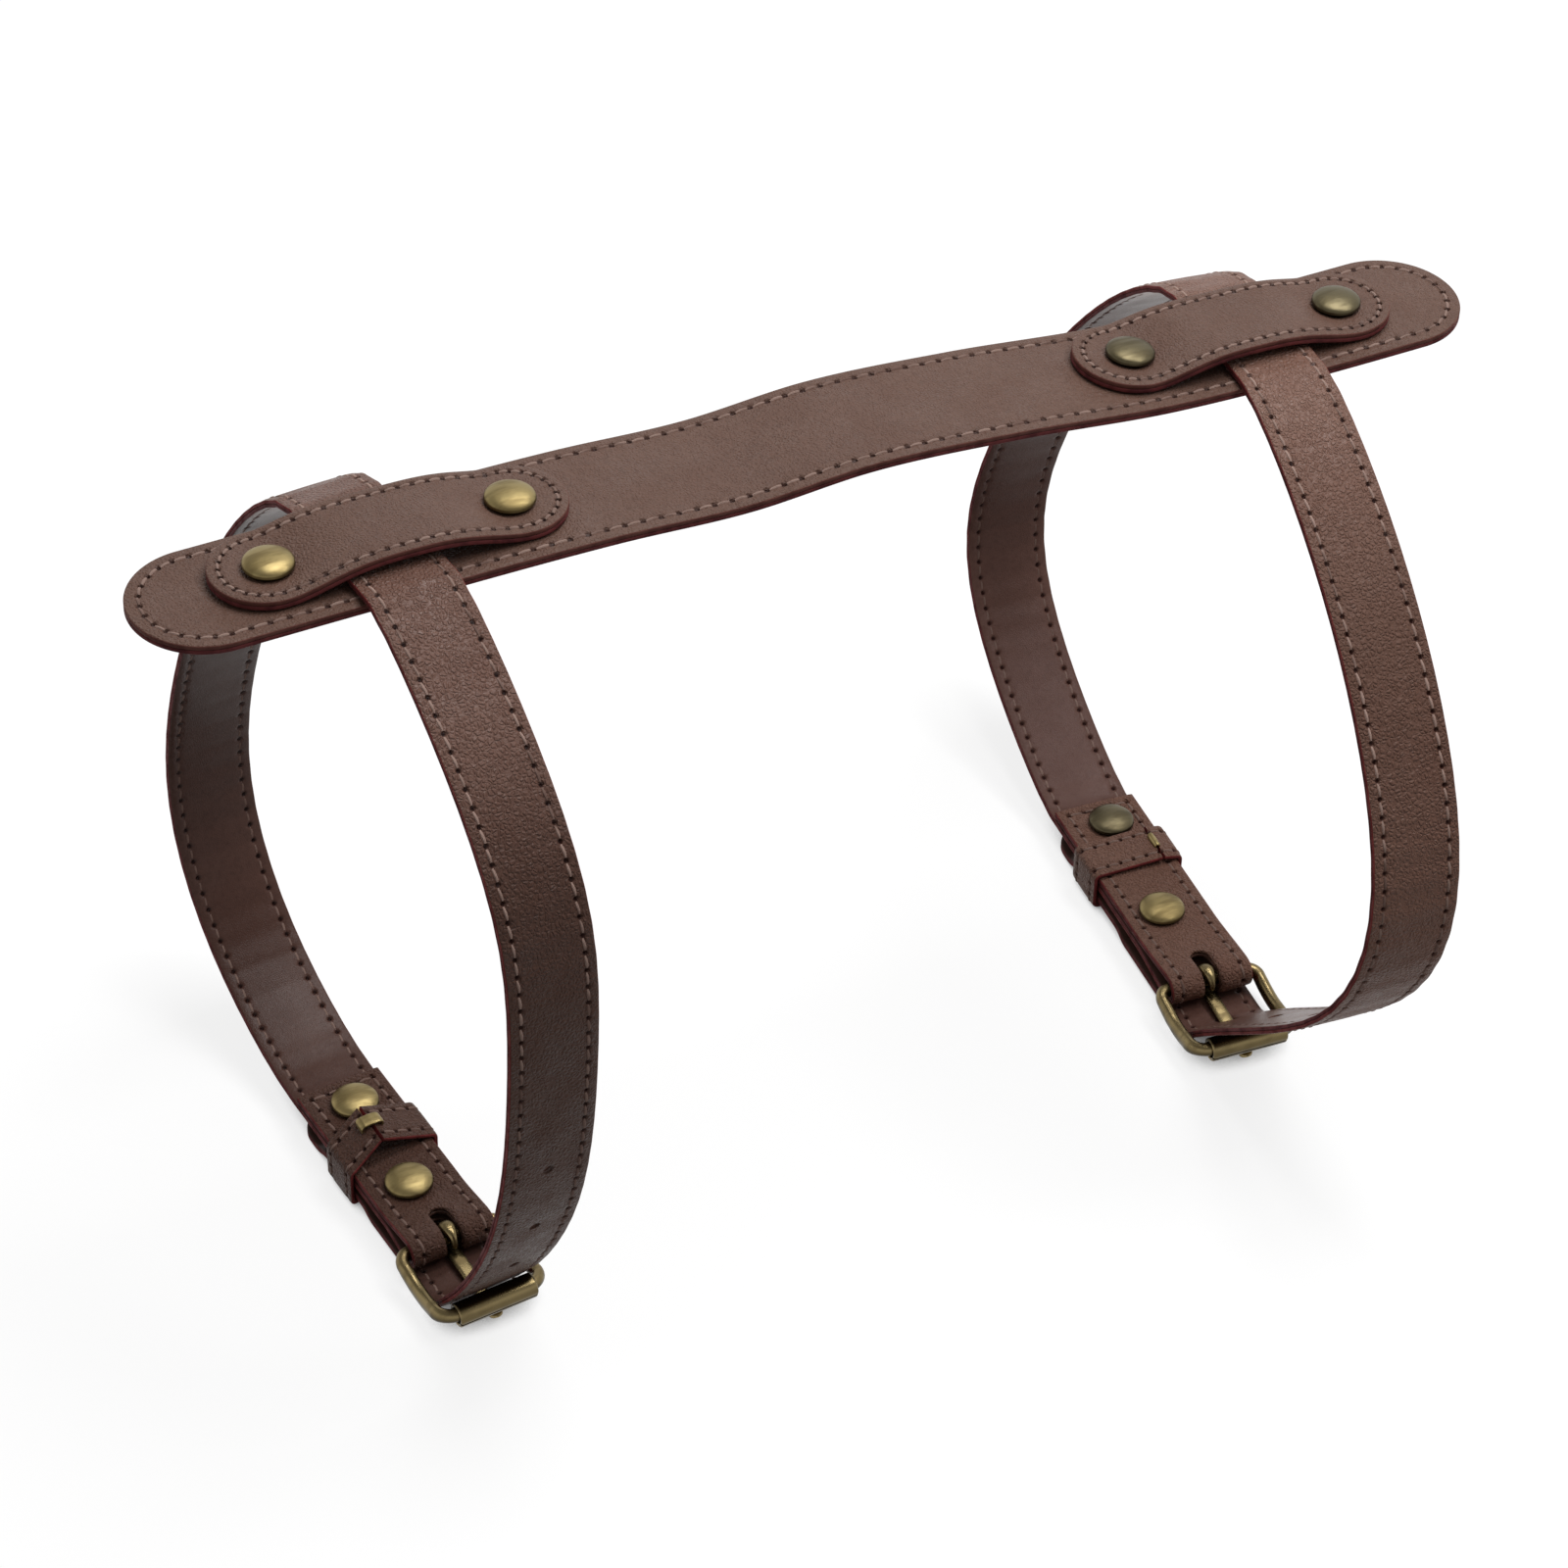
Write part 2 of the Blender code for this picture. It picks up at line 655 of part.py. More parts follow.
def punch_place(loop, path, distance):
    """Placement of a punch on the strap, with Z square to its face and Y along it."""
    step = 1 * MM
    back, middle, ahead = point_along(path, distance + np.array([-step, 0, step]))
    angle = math.atan2(ahead[1] - back[1], ahead[0] - back[0])
    place = hang(loop, np.array([*middle, 0.0]))
    return Matrix.Translation(place) @ Matrix.Rotation(angle, 4, "X")


def make_strap(loop, carrier, leather, lining):
    """Strap of two plies with its stem holes, tongue slot and punched holes."""
    path, roller_index = strap_path(loop)
    along = path_length(path)
    from_tip = along[-1] - along
    round_tip = np.sqrt(np.maximum(1 - np.clip(1 - from_tip / TAIL_TIP, 0, 1) ** 2, 0.03**2))
    half = STRAP_WIDTH / 2 * round_tip

    cutter = bmesh.new()
    stack = (MAIN_Z - STRAP_THICKNESS / 2 - SEAT, FLAP_Z + STRAP_THICKNESS / 2 + SEAT)
    for _, side, reach in flap_rivets(loop):
        place = Matrix.Translation((loop.lean + side, loop.bar_y + reach, 0))
        pin(STEM_HOLE, *stack, into=cutter, place=place)
    fold_reach = FOLD_RADIUS + STRAP_THICKNESS / 2 + SEAT
    slot = SLOT_PAST_BAR + fold_reach + SLOT_WIDTH
    slot_middle = loop.bar_y + SLOT_PAST_BAR - slot / 2
    place = Matrix.Translation((loop.lean, slot_middle, FOLD_BAR_HEIGHT))
    oblong_pin(SLOT_WIDTH, slot, -fold_reach, fold_reach, cutter, place)
    used = tongue_crossing(loop, path, roller_index)
    deep = 2 * STRAP_THICKNESS
    width = TONGUE_WIDTH + 2 * PASS
    oblong_pin(width, TONGUE_HOLE_LENGTH, -deep, deep, cutter, punch_place(loop, path, used))
    free = [-FIRST_FREE_HOLE - step * HOLE_PITCH for step in range(loop.free_holes)]
    spare = [step * HOLE_PITCH for step in range(1, SPARE_TAIL_HOLES + 1)]
    for distance in free + spare:
        spot = punch_place(loop, path, used + distance)
        pin(HOLE_DIAMETER / 2, -STRAP_THICKNESS, STRAP_THICKNESS, cutter, spot)
    holes = make_cutter(f"{loop.name}_strap_holes", cutter, carrier)

    plies = (
        (f"{loop.name}_strap_outer", GLUE / 2, GLUE / 2 + STRAP_PLY, leather),
        (f"{loop.name}_strap_lining", -(GLUE / 2 + STRAP_PLY), -GLUE / 2, lining),
    )
    for name, low, high, material in plies:
        rings = hang(loop, ribbon(path, half, low, high))
        punch(make_object(name, loft(rings), carrier, material), holes)


def make_frame(loop, foot, brass):
    """Buckle frame: a wire ring with round corners whose arms bow outwards."""
    radius = FRAME_CORNER
    side = FRAME_HALF - radius
    back, front = -radius, -(FRAME_LENGTH - radius)
    quarter = math.pi / 2
    outline = np.vstack([
        arc((side, back), radius, 0, quarter, 5),
        arc((-side, back), radius, quarter, 2 * quarter, 5),
        np.stack([np.full(4, -FRAME_HALF), np.linspace(back, front, 6)[1:-1]], axis=1),
        arc((-side, front), radius, 2 * quarter, 3 * quarter, 5),
        arc((side, front), radius, 3 * quarter, 4 * quarter, 5),
        np.stack([np.full(4, FRAME_HALF), np.linspace(front, back, 6)[1:-1]], axis=1),
    ])
    share = -outline[:, 1] / FRAME_LENGTH
    height = (ROLLER_BAR_HEIGHT - FOLD_BAR_HEIGHT) * share - FRAME_BOW * np.sin(math.pi * share)
    path = np.column_stack([outline, height])
    ahead = np.roll(path, -1, axis=0) - path
    behind = path - np.roll(path, 1, axis=0)
    ahead /= np.linalg.norm(ahead, axis=1)[:, None]
    behind /= np.linalg.norm(behind, axis=1)[:, None]
    along = ahead + behind
    across = np.cross(along, (0, 0, 1))
    across /= np.linalg.norm(across, axis=1)[:, None]
    up = np.cross(across, along)
    up /= np.linalg.norm(up, axis=1)[:, None]
    turn = np.linspace(0, 2 * math.pi, 10, endpoint=False)[None, :, None]
    wire = FRAME_WIRE / 2
    arm = ease(np.minimum(share, 1 - share) / 0.25)
    deep = (wire + (FRAME_ARM_DEPTH / 2 - wire) * arm)[:, None, None]
    rings = path[:, None] + wire * np.cos(turn) * across[:, None] + deep * np.sin(turn) * up[:, None]
    place = (0, loop.bar_y, FOLD_BAR_HEIGHT)
    make_object(f"{loop.name}_buckle_frame", loft(rings, closed=True), foot, brass, place)


def make_roller(loop, foot, brass):
    """Roller: a sheet rolled round the frame's front bar, with a split where its edges meet."""
    inside = FRAME_WIRE / 2 + RUN
    outside = ROLLER_DIAMETER / 2
    middle = (inside + outside) / 2
    wall = outside - inside
    split = ROLLER_SPLIT / middle / 2
    seam = math.radians(200)
    path = arc((0, 0), middle, seam + split, seam + 2 * math.pi - split, 25)
    half = FRAME_HALF - FRAME_CORNER - RUN
    rings = ribbon(path, half, -wall / 2, wall / 2)[:, :, (2, 0, 1)]
    roller_y, roller_z = roller_centre(loop)
    make_object(f"{loop.name}_buckle_roller", loft(rings), foot, brass, (0, roller_y, roller_z))


def make_tongue(loop, foot, brass):
    """Tongue: a strip curled round the fold bar that runs out under the roller."""
    path = tongue_path(loop)
    along = path_length(path)
    shaft = ease((along - 0.55 * along[-1]) / (0.1 * along[-1]))
    thickness = TONGUE_EYE_THICKNESS + (TONGUE_THICKNESS - TONGUE_EYE_THICKNESS) * shaft
    tip = ease((along - 0.92 * along[-1]) / (0.08 * along[-1]))
    half = TONGUE_WIDTH / 2 * (1 - 0.35 * tip)
    rings = ribbon(path, half, -thickness / 2, thickness / 2 * (1 - 0.4 * tip))[:, :, (2, 0, 1)]
    place = (0, loop.bar_y, FOLD_BAR_HEIGHT)
    tongue = make_object(f"{loop.name}_buckle_tongue", loft(rings), foot, brass, place)
    round_edges(tongue, 0.25 * TONGUE_THICKNESS)


def make_keeper(loop, foot, leather, brass):
    """Keeper round the tail, the strap and its flap, butted on the flap side under a staple."""
    low = TAIL_Z + TAIL_LIFT - STRAP_THICKNESS / 2 - SEAT - KEEPER_PLY / 2
    high = FLAP_Z + STRAP_THICKNESS / 2 + SEAT + KEEPER_PLY / 2
    side = STRAP_WIDTH / 2 + PASS + KEEPER_PLY / 2
    radius = KEEPER_PLY / 2 + SEAT + PASS
    peak = high + loop.crown
    quarter = math.pi / 2
    path = join_runs(
        np.array([(loop.joint - SEAT, peak), (radius - side, high)]),
        arc((radius - side, high - radius), radius, quarter, 2 * quarter, 6),
        np.array([(-side, high - radius), (-side, low + radius)]),
        arc((radius - side, low + radius), radius, 2 * quarter, 3 * quarter, 6),
        np.array([(radius - side, low), (side - radius, low)]),
        arc((side - radius, low + radius), radius, 3 * quarter, 4 * quarter, 6),
        np.array([(side, low + radius), (side, high - radius)]),
        arc((side - radius, high - radius), radius, 0, quarter, 6),
        np.array([(side - radius, high), (loop.joint + SEAT, peak)]),
    )
    rings = ribbon(path, KEEPER_WIDTH / 2, -KEEPER_PLY / 2, KEEPER_PLY / 2)[:, :, (0, 2, 1)]
    across = rings[..., 0]
    rings[..., 1] += (loop.skew * across / 2 - loop.sag * np.abs(across - loop.joint)) / side
    middle = loop.bar_y + loop.near_rivet + loop.keeper
    make_object(f"{loop.name}_keeper", loft(rings), foot, leather, (0, middle, 0))

    place = (loop.joint, middle, peak + KEEPER_PLY / 2 + GLUE)
    crown = np.array([
        (-STAPLE_LENGTH / 2, 0.0),
        (-STAPLE_LENGTH / 2 + STAPLE_HEIGHT, 0.25 * STAPLE_HEIGHT),
        (STAPLE_LENGTH / 2 - STAPLE_HEIGHT, 0.25 * STAPLE_HEIGHT),
        (STAPLE_LENGTH / 2, 0.0),
    ])
    rings = ribbon(crown, STAPLE_WIDTH / 2, -STAPLE_HEIGHT, 0)[:, :, (0, 2, 1)]
    staple = make_object(f"{loop.name}_keeper_staple", loft(rings), foot, brass, place)
    round_edges(staple, 0.25 * STAPLE_HEIGHT)


def make_loop(loop, root, leather, lining, brass):
    """One strap loop with its buckle, flap rivets and keeper."""
    x, _, _ = crossing(loop)
    carrier = make_empty(f"{loop.name}_loop", root, (x, 0, 0), loop.yaw)
    foot = make_empty(f"{loop.name}_foot", carrier, (loop.lean, 0, 0))
    make_strap(loop, carrier, leather, lining)
    make_frame(loop, foot, brass)
    make_roller(loop, foot, brass)
    make_tongue(loop, foot, brass)
    make_keeper(loop, foot, leather, brass)
    top = FLAP_Z + STRAP_THICKNESS / 2
    for word, side, reach in flap_rivets(loop):
        place = Matrix.Translation((side, loop.bar_y + reach, top))
        make_rivet(f"{loop.name}_flap_{word}_rivet", foot, place, 2 * STRAP_THICKNESS + SEAT, brass)


def stand_on_origin(root):
    """Move the carrier so that the origin lies under its middle, on the ground."""
    bpy.context.view_layer.update()
    view = bpy.context.evaluated_depsgraph_get()
    low = np.full(3, np.inf)
    high = -low
    for piece in bpy.data.objects:
        if piece.type != "MESH" or piece.hide_render:
            continue
        shown = piece.evaluated_get(view)
        mesh = shown.to_mesh()
        points = np.empty(3 * len(mesh.vertices), dtype=np.float32)
        mesh.vertices.foreach_get("co", points)
        shown.to_mesh_clear()
        turn = np.array(piece.matrix_world.to_3x3())
        placed = points.reshape(-1, 3) @ turn.T + np.array(piece.matrix_world.translation)
        low = np.minimum(low, placed.min(axis=0))
        high = np.maximum(high, placed.max(axis=0))
    middle = (low + high) / 2
    root.location = (-middle[0], -middle[1], -low[2])


def main():
    """Build the carrier."""
    clear_scene()
    leather = make_material("dark_brown_leather", LEATHER, 0.5, 0.0)
    lining = make_material("brown_lining", LINING, 0.6, 0.0)
    brass = make_material("antique_brass", BRASS, 0.35, 1.0)
    root = make_empty("carrier")
    make_handle(root, leather, lining, brass)
    for loop in LOOPS:
        make_loop(loop, root, leather, lining, brass)
    stand_on_origin(root)


main()
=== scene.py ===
"""Looks of a two-strap leather carrier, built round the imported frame.

Lengths are metres and +Z is up. X runs along the handle and +Y points to the rear, as in the frame.
Sewn leather is worked out in its own coordinates (along the seam, in from the edge, out from the face),
and a place method of each piece carries those coordinates into the frame.
"""

from __future__ import annotations

import logging
import math
from dataclasses import dataclass, field
from enum import Enum
from functools import cached_property

import bmesh
import bpy
import numpy as np
from mathutils import Matrix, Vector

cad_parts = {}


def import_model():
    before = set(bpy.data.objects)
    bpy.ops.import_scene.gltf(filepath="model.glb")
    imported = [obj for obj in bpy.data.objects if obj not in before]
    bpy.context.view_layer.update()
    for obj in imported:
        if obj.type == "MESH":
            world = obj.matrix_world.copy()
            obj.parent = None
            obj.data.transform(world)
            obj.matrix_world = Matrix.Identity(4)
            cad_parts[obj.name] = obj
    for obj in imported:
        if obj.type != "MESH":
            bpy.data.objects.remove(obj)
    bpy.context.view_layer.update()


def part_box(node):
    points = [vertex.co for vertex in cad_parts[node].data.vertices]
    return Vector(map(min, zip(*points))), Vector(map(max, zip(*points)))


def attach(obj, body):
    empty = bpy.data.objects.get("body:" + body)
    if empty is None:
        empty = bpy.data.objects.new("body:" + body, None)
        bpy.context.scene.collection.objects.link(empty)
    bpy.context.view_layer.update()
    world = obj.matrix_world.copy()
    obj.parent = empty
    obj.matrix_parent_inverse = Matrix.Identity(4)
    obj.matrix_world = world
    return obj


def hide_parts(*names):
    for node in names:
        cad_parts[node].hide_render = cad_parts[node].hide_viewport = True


Array = np.ndarray
Colour = tuple[float, float, float]
Point = tuple[float, float, float]
Span = tuple[float, float]
Material = bpy.types.Material
Socket = bpy.types.NodeSocket

MM = 0.001
QUARTER = math.pi / 2
WHITE = (1.0, 1.0, 1.0)
MERGE_DISTANCE = 0.002 * MM
CURVE_STEPS = 201
RELAX_ROUNDS = 6
RELAX_POINTS = 4
SHARP_ANGLE = math.radians(42)
LOG = logging.getLogger("carrier")


class Face(Enum):
    """Side of a sewn strip that a ply shows, as the sign of its direction from the glue line."""

    OUTER = 1
    LINING = -1


class Slot(Enum):
    """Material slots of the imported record."""

    HANDLE = "handle_leather"
    STRAP = "strap_leather"
    LINING = "lining"
    BRASS = "antique_brass"


# Curves


def ease(value: Array) -> Array:
    """Smooth step from 0 to 1: three times the square less twice the cube of the clipped value."""
    u = np.clip(value, 0.0, 1.0)
    return u * u * (3.0 - 2.0 * u)


def stepped(value: Array, span: Span) -> Array:
    """Smooth step over a span of (start, reach): 0 up to the start, and 1 from the reach past it."""
    start, reach = span
    return ease((value - start) / reach)


def bell(value: Array, width: float) -> Array:
    """Bell curve of height 1: e to the power of minus the square of value over width."""
    return np.exp(-((value / width) ** 2))


def unit(vectors: Array) -> Array:
    """Vectors brought to a length of 1."""
    return vectors / np.linalg.norm(vectors, axis=-1, keepdims=True)


def circle(count: int) -> Array:
    """Angles once round, evenly spaced."""
    return np.linspace(0.0, 2 * math.pi, count, endpoint=False)


def squared_off(wave: Array, power: float | Array) -> Array:
    """Wave to a power with its sign kept: a power below 1 makes a round section squarer."""
    return np.sign(wave) * np.abs(wave) ** power


def from_nearest(along: Array, pitch: float) -> Array:
    """Distance to the nearest whole multiple of a pitch."""
    return np.abs((along + pitch / 2) % pitch - pitch / 2)


def mirrored(half: Array) -> Array:
    """Row of values and its mirror image, which share the last value."""
    return np.concatenate([half, half[-2::-1]])


def path_length(points: Array) -> Array:
    """Distance along a path at each of its points: the running sum of its chords."""
    return np.concatenate([[0.0], np.cumsum(np.linalg.norm(np.diff(points, axis=0), axis=1))])


def between(distance: Array, along: Array, values: Array) -> Array:
    """Rows of values at distances along a path, by straight interpolation."""
    return np.stack([np.interp(distance, along, column) for column in values.T], axis=-1)


def point_along(points: Array, distance: Array) -> Array:
    """Points at the given distances along a path, on its chords."""
    return between(distance, path_length(points), points)


def cubic(u: Array, start: Array, start_pull: Array, end: Array, end_pull: Array) -> Array:
    """Cubic between two values with given tangents, as a sum weighted by the Hermite polynomials.

    Args:
        u: Share of the way, from 0 to 1.
        start: First value.
        start_pull: Tangent at the first value.
        end: Last value.
        end_pull: Tangent at the last value.

    Returns:
        Values on the way.
    """
    return (
        (2 * u**3 - 3 * u**2 + 1) * start
        + (u**3 - 2 * u**2 + u) * start_pull
        + (3 * u**2 - 2 * u**3) * end
        + (u**3 - u**2) * end_pull
    )


def hermite(start: Array, start_pull: Array, end: Array, end_pull: Array, spacing: float) -> Array:
    """Evenly spaced points on a cubic curve between two points with given tangents.

    Args:
        start: First point.
        start_pull: Tangent at the first point.
        end: Last point.
        end_pull: Tangent at the last point.
        spacing: Wanted distance between points.

    Returns:
        Points, one row each.
    """
    u = np.linspace(0.0, 1.0, CURVE_STEPS)[:, None]
    curve = cubic(u, *(np.asarray(value) for value in (start, start_pull, end, end_pull)))
    length = path_length(curve)[-1]
    return point_along(curve, np.linspace(0.0, length, max(3, round(length / spacing) + 1)))


def arc(centre: tuple[float, float], radius: float, start: float, end: float, count: int) -> Array:
    """Points on a circle from one angle to another: the centre plus radius times cosine and sine."""
    angle = np.linspace(start, end, count)
    return np.stack([centre[0] + radius * np.cos(angle), centre[1] + radius * np.sin(angle)], axis=1)


def stadium(straight: float, radius: float, steps: int) -> Array:
    """Outline of an oblong hole: two half circles with their middles a straight apart on the second axis."""
    end = arc((0.0, straight / 2), radius, 0.0, math.pi, steps)
    return np.vstack([end, -end])


def join_runs(*runs: Array) -> Array:
    """One path from runs that each start where the last one ended."""
    return np.vstack([runs[0]] + [run[1:] for run in runs[1:]])


def relaxed(points: Array, spacing: float) -> Array:
    """Even out the bends of a free run of leather: in rounds, half way to the middle of the neighbours.

    Args:
        points: Path, one row for each point.
        spacing: Distance between points. The move fades to nothing over the last few of them at each end.

    Returns:
        Path with as many points.
    """
    along = path_length(points)
    share = ease(np.minimum(along, along[-1] - along) / (RELAX_POINTS * spacing))[1:-1, None]
    for _ in range(RELAX_ROUNDS):
        pull = (points[:-2] + points[2:]) / 2 - points[1:-1]
        points = np.vstack([points[:1], points[1:-1] + 0.5 * share * pull, points[-1:]])
    return points


def smoothed(points: Array, longest: float, spacing: float) -> Array:
    """Fine path through the points of a coarse one.

    Long chords are split first, so that straight runs stay straight. Each span is then a cubic whose end
    tangents are the neighbouring chords' slopes, weighted by the other chord's length.

    Args:
        points: Coarse path.
        longest: Longest chord before the smoothing.
        spacing: Distance between points of the fine path.

    Returns:
        Fine path.
    """
    along = path_length(points)
    extra = np.arange(0.0, along[-1], longest)
    extra = extra[np.abs(extra[:, None] - along[None]).min(axis=1) > 0.4 * longest]
    stations = np.sort(np.concatenate([along, extra]))
    knots = point_along(points, stations)
    span = np.diff(stations)[:, None]
    slope = np.diff(knots, axis=0) / span
    inner = (slope[:-1] * span[1:] + slope[1:] * span[:-1]) / (span[:-1] + span[1:])
    tangent = np.vstack([slope[:1], inner, slope[-1:]])
    wanted = np.linspace(0.0, stations[-1], int(stations[-1] / spacing) + 1)
    i = np.clip(np.searchsorted(stations, wanted) - 1, 0, len(span) - 1)
    u = (wanted[:, None] - stations[i][:, None]) / span[i]
    return cubic(u, knots[i], span[i] * tangent[i], knots[i + 1], span[i] * tangent[i + 1])


@dataclass
class Track:
    """Plane curve that leather or wire follows, with its outward direction to the right of travel."""

    points: Array
    along: Array = field(init=False)
    normals: Array = field(init=False)

    def __post_init__(self) -> None:
        """Work out the distances and the outward directions, which are the tangents turned by a quarter."""
        self.along = path_length(self.points)
        tangent = unit(np.gradient(self.points, self.along, axis=0))
        self.normals = np.stack([tangent[:, 1], -tangent[:, 0]], axis=1)

    @property
    def length(self) -> float:
        """Length of the whole curve."""
        return float(self.along[-1])

    def at(self, distance: Array) -> tuple[Array, Array]:
        """Points and outward directions at distances along the curve, both by straight interpolation."""
        point = between(distance, self.along, self.points)
        return point, unit(between(distance, self.along, self.normals))

    def off(self, distance: Array, out: Array) -> Array:
        """Points at heights above the curve: its point plus the height along the outward direction."""
        point, normal = self.at(distance)
        return point + out[..., None] * normal


# Meshes


def cells(index: Array) -> Array:
    """Corner numbers of each cell of a grid of points, which fills the last two axes."""
    corners = [index[..., :-1, :-1], index[..., 1:, :-1], index[..., 1:, 1:], index[..., :-1, 1:]]
    return np.stack(corners, axis=-1)


@dataclass
class Shell:
    """Points and faces of a mesh before it goes into Blender."""

    points: Array
    faces: list[list[int]]
    paint: list[int]
    pit: Array | None = None

    @staticmethod
    def grid(
        points: Array, paint: Array | int, wrap_u: bool, wrap_v: bool, pit: Array | float | None = None
    ) -> Shell:
        """Quads between the points of a grid. An open first axis with a closed second one gets flat end caps.

        Args:
            points: Grid of points, shape (u, v, 3).
            paint: Material index of each strip between neighbours in v, or one for all.
            wrap_u: Whether the first axis closes on itself.
            wrap_v: Whether the second axis closes on itself.
            pit: Darkness of each point, painted shade as in a needle hole, a hole's wall or under a rim,
                spread over (u, v).

        Returns:
            The shell.
        """
        count_u, count_v = points.shape[:2]
        index = np.arange(count_u * count_v).reshape(count_u, count_v)
        if wrap_u:
            index = np.vstack([index, index[:1]])
        if wrap_v:
            index = np.hstack([index, index[:, :1]])
        quads = cells(index)
        strips = np.broadcast_to(paint, count_v)[: quads.shape[1]]
        faces = quads.reshape(-1, 4).tolist()
        marks = np.broadcast_to(strips, quads.shape[:2]).reshape(-1).tolist()
        if wrap_v and not wrap_u:
            faces += [index[0, :count_v].tolist(), index[-1, :count_v][::-1].tolist()]
            marks += [int(np.max(paint))] * 2
        dark = None if pit is None else np.broadcast_to(pit, (count_u, count_v)).reshape(-1)
        return Shell(points.reshape(-1, 3), faces, marks, dark)

    @staticmethod
    def tubes(points: Array) -> Shell:
        """Short closed tubes: quads between rings, and a flat cap at each end.

        Args:
            points: Rings, shape (tube, ring, corner, 3).

        Returns:
            The shell of all tubes.
        """
        tubes, rings, corners = points.shape[:3]
        index = np.arange(tubes * rings * corners).reshape(tubes, rings, corners)
        quads = cells(np.concatenate([index, index[:, :, :1]], axis=2))
        faces = quads.reshape(-1, 4).tolist() + index[:, 0].tolist() + index[:, -1, ::-1].tolist()
        return Shell(points.reshape(-1, 3), faces, [0] * len(faces))

    @staticmethod
    def joined(*shells: Shell) -> Shell:
        """One shell from several, each face's corners moved on by the points before it.

        Args:
            shells: Shells without dark places.

        Returns:
            The shell.
        """
        starts = np.cumsum([0] + [len(shell.points) for shell in shells]).tolist()
        faces = [[start + i for i in face] for start, shell in zip(starts, shells) for face in shell.faces]
        paint = [mark for shell in shells for mark in shell.paint]
        return Shell(np.vstack([shell.points for shell in shells]), faces, paint)

    def mesh(self, name: str) -> bpy.types.Mesh:
        """Blender mesh with doubles merged, faces turned outwards and its dark places as an attribute.

        Args:
            name: Name of the mesh.

        Returns:
            The mesh, shaded smooth with hard corners kept.
        """
        mesh = bpy.data.meshes.new(name)
        mesh.from_pydata(self.points.tolist(), [], self.faces)
        mesh.polygons.foreach_set("material_index", np.asarray(self.paint, dtype=np.int32))
        if self.pit is not None:
            layer = mesh.attributes.new("pit", "FLOAT", "POINT")
            layer.data.foreach_set("value", self.pit.astype(np.float32))
        work = bmesh.new()
        work.from_mesh(mesh)
        bmesh.ops.remove_doubles(work, verts=work.verts[:], dist=MERGE_DISTANCE)
        bmesh.ops.recalc_face_normals(work, faces=work.faces[:])
        work.to_mesh(mesh)
        work.free()
        mesh.shade_smooth()
        mesh.set_sharp_from_angle(angle=SHARP_ANGLE)
        return mesh


def turned(profile: Array, sides: int, pit: Array) -> Shell:
    """Solid of revolution about Z: a profile's radius goes round as radius times cosine and sine.

    Args:
        profile: Points (radius, height) from axis to axis.
        sides: Steps round.
        pit: Darkness of each profile point.

    Returns:
        The shell, closed at its poles when doubles are merged.
    """
    angle = circle(sides)[:, None]
    radius, height = profile.T[:, None]
    points = np.stack([radius * np.cos(angle), radius * np.sin(angle), height + 0 * angle], axis=-1)
    return Shell.grid(points, 0, wrap_u=True, wrap_v=False, pit=pit[None])


def make_object(name: str, mesh: bpy.types.Mesh, materials: list[Material]) -> bpy.types.Object:
    """Object at the origin with its mesh and materials.

    Args:
        name: Name of the object.
        mesh: Its mesh.
        materials: Materials by index.

    Returns:
        The object.
    """
    piece = bpy.data.objects.new(name, mesh)
    bpy.context.scene.collection.objects.link(piece)
    for material in materials:
        mesh.materials.append(material)
    return piece


def add_piece(
    name: str,
    shell: Shell,
    body: str,
    materials: list[Material],
    nodes: tuple[str, ...] = (),
    punches: tuple[Shell, ...] = (),
) -> None:
    """Put a finished piece on its body.

    Args:
        name: Name of the piece.
        shell: Its points and faces in the frame.
        body: Body that it moves with.
        materials: Materials by index.
        nodes: CAD nodes that it stands for.
        punches: Shapes that are punched out of it, one after the other.
    """
    piece = make_object(name, shell.mesh(name), materials)
    for shape in punches:
        punch = make_object(f"{name}_punch", shape.mesh(f"{name}_punch"), materials)
        cut = piece.modifiers.new("punch", "BOOLEAN")
        cut.operation, cut.solver, cut.object = "DIFFERENCE", "EXACT", punch
        view = bpy.context.evaluated_depsgraph_get()
        punched = bpy.data.meshes.new_from_object(piece.evaluated_get(view))
        piece.modifiers.clear()
        piece.data = punched
        bpy.data.objects.remove(punch, do_unlink=True)
    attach(piece, body)
    if nodes:
        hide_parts(*nodes)
    LOG.info("%s on %s: %d faces", name, body, len(piece.data.polygons))


# Finishes


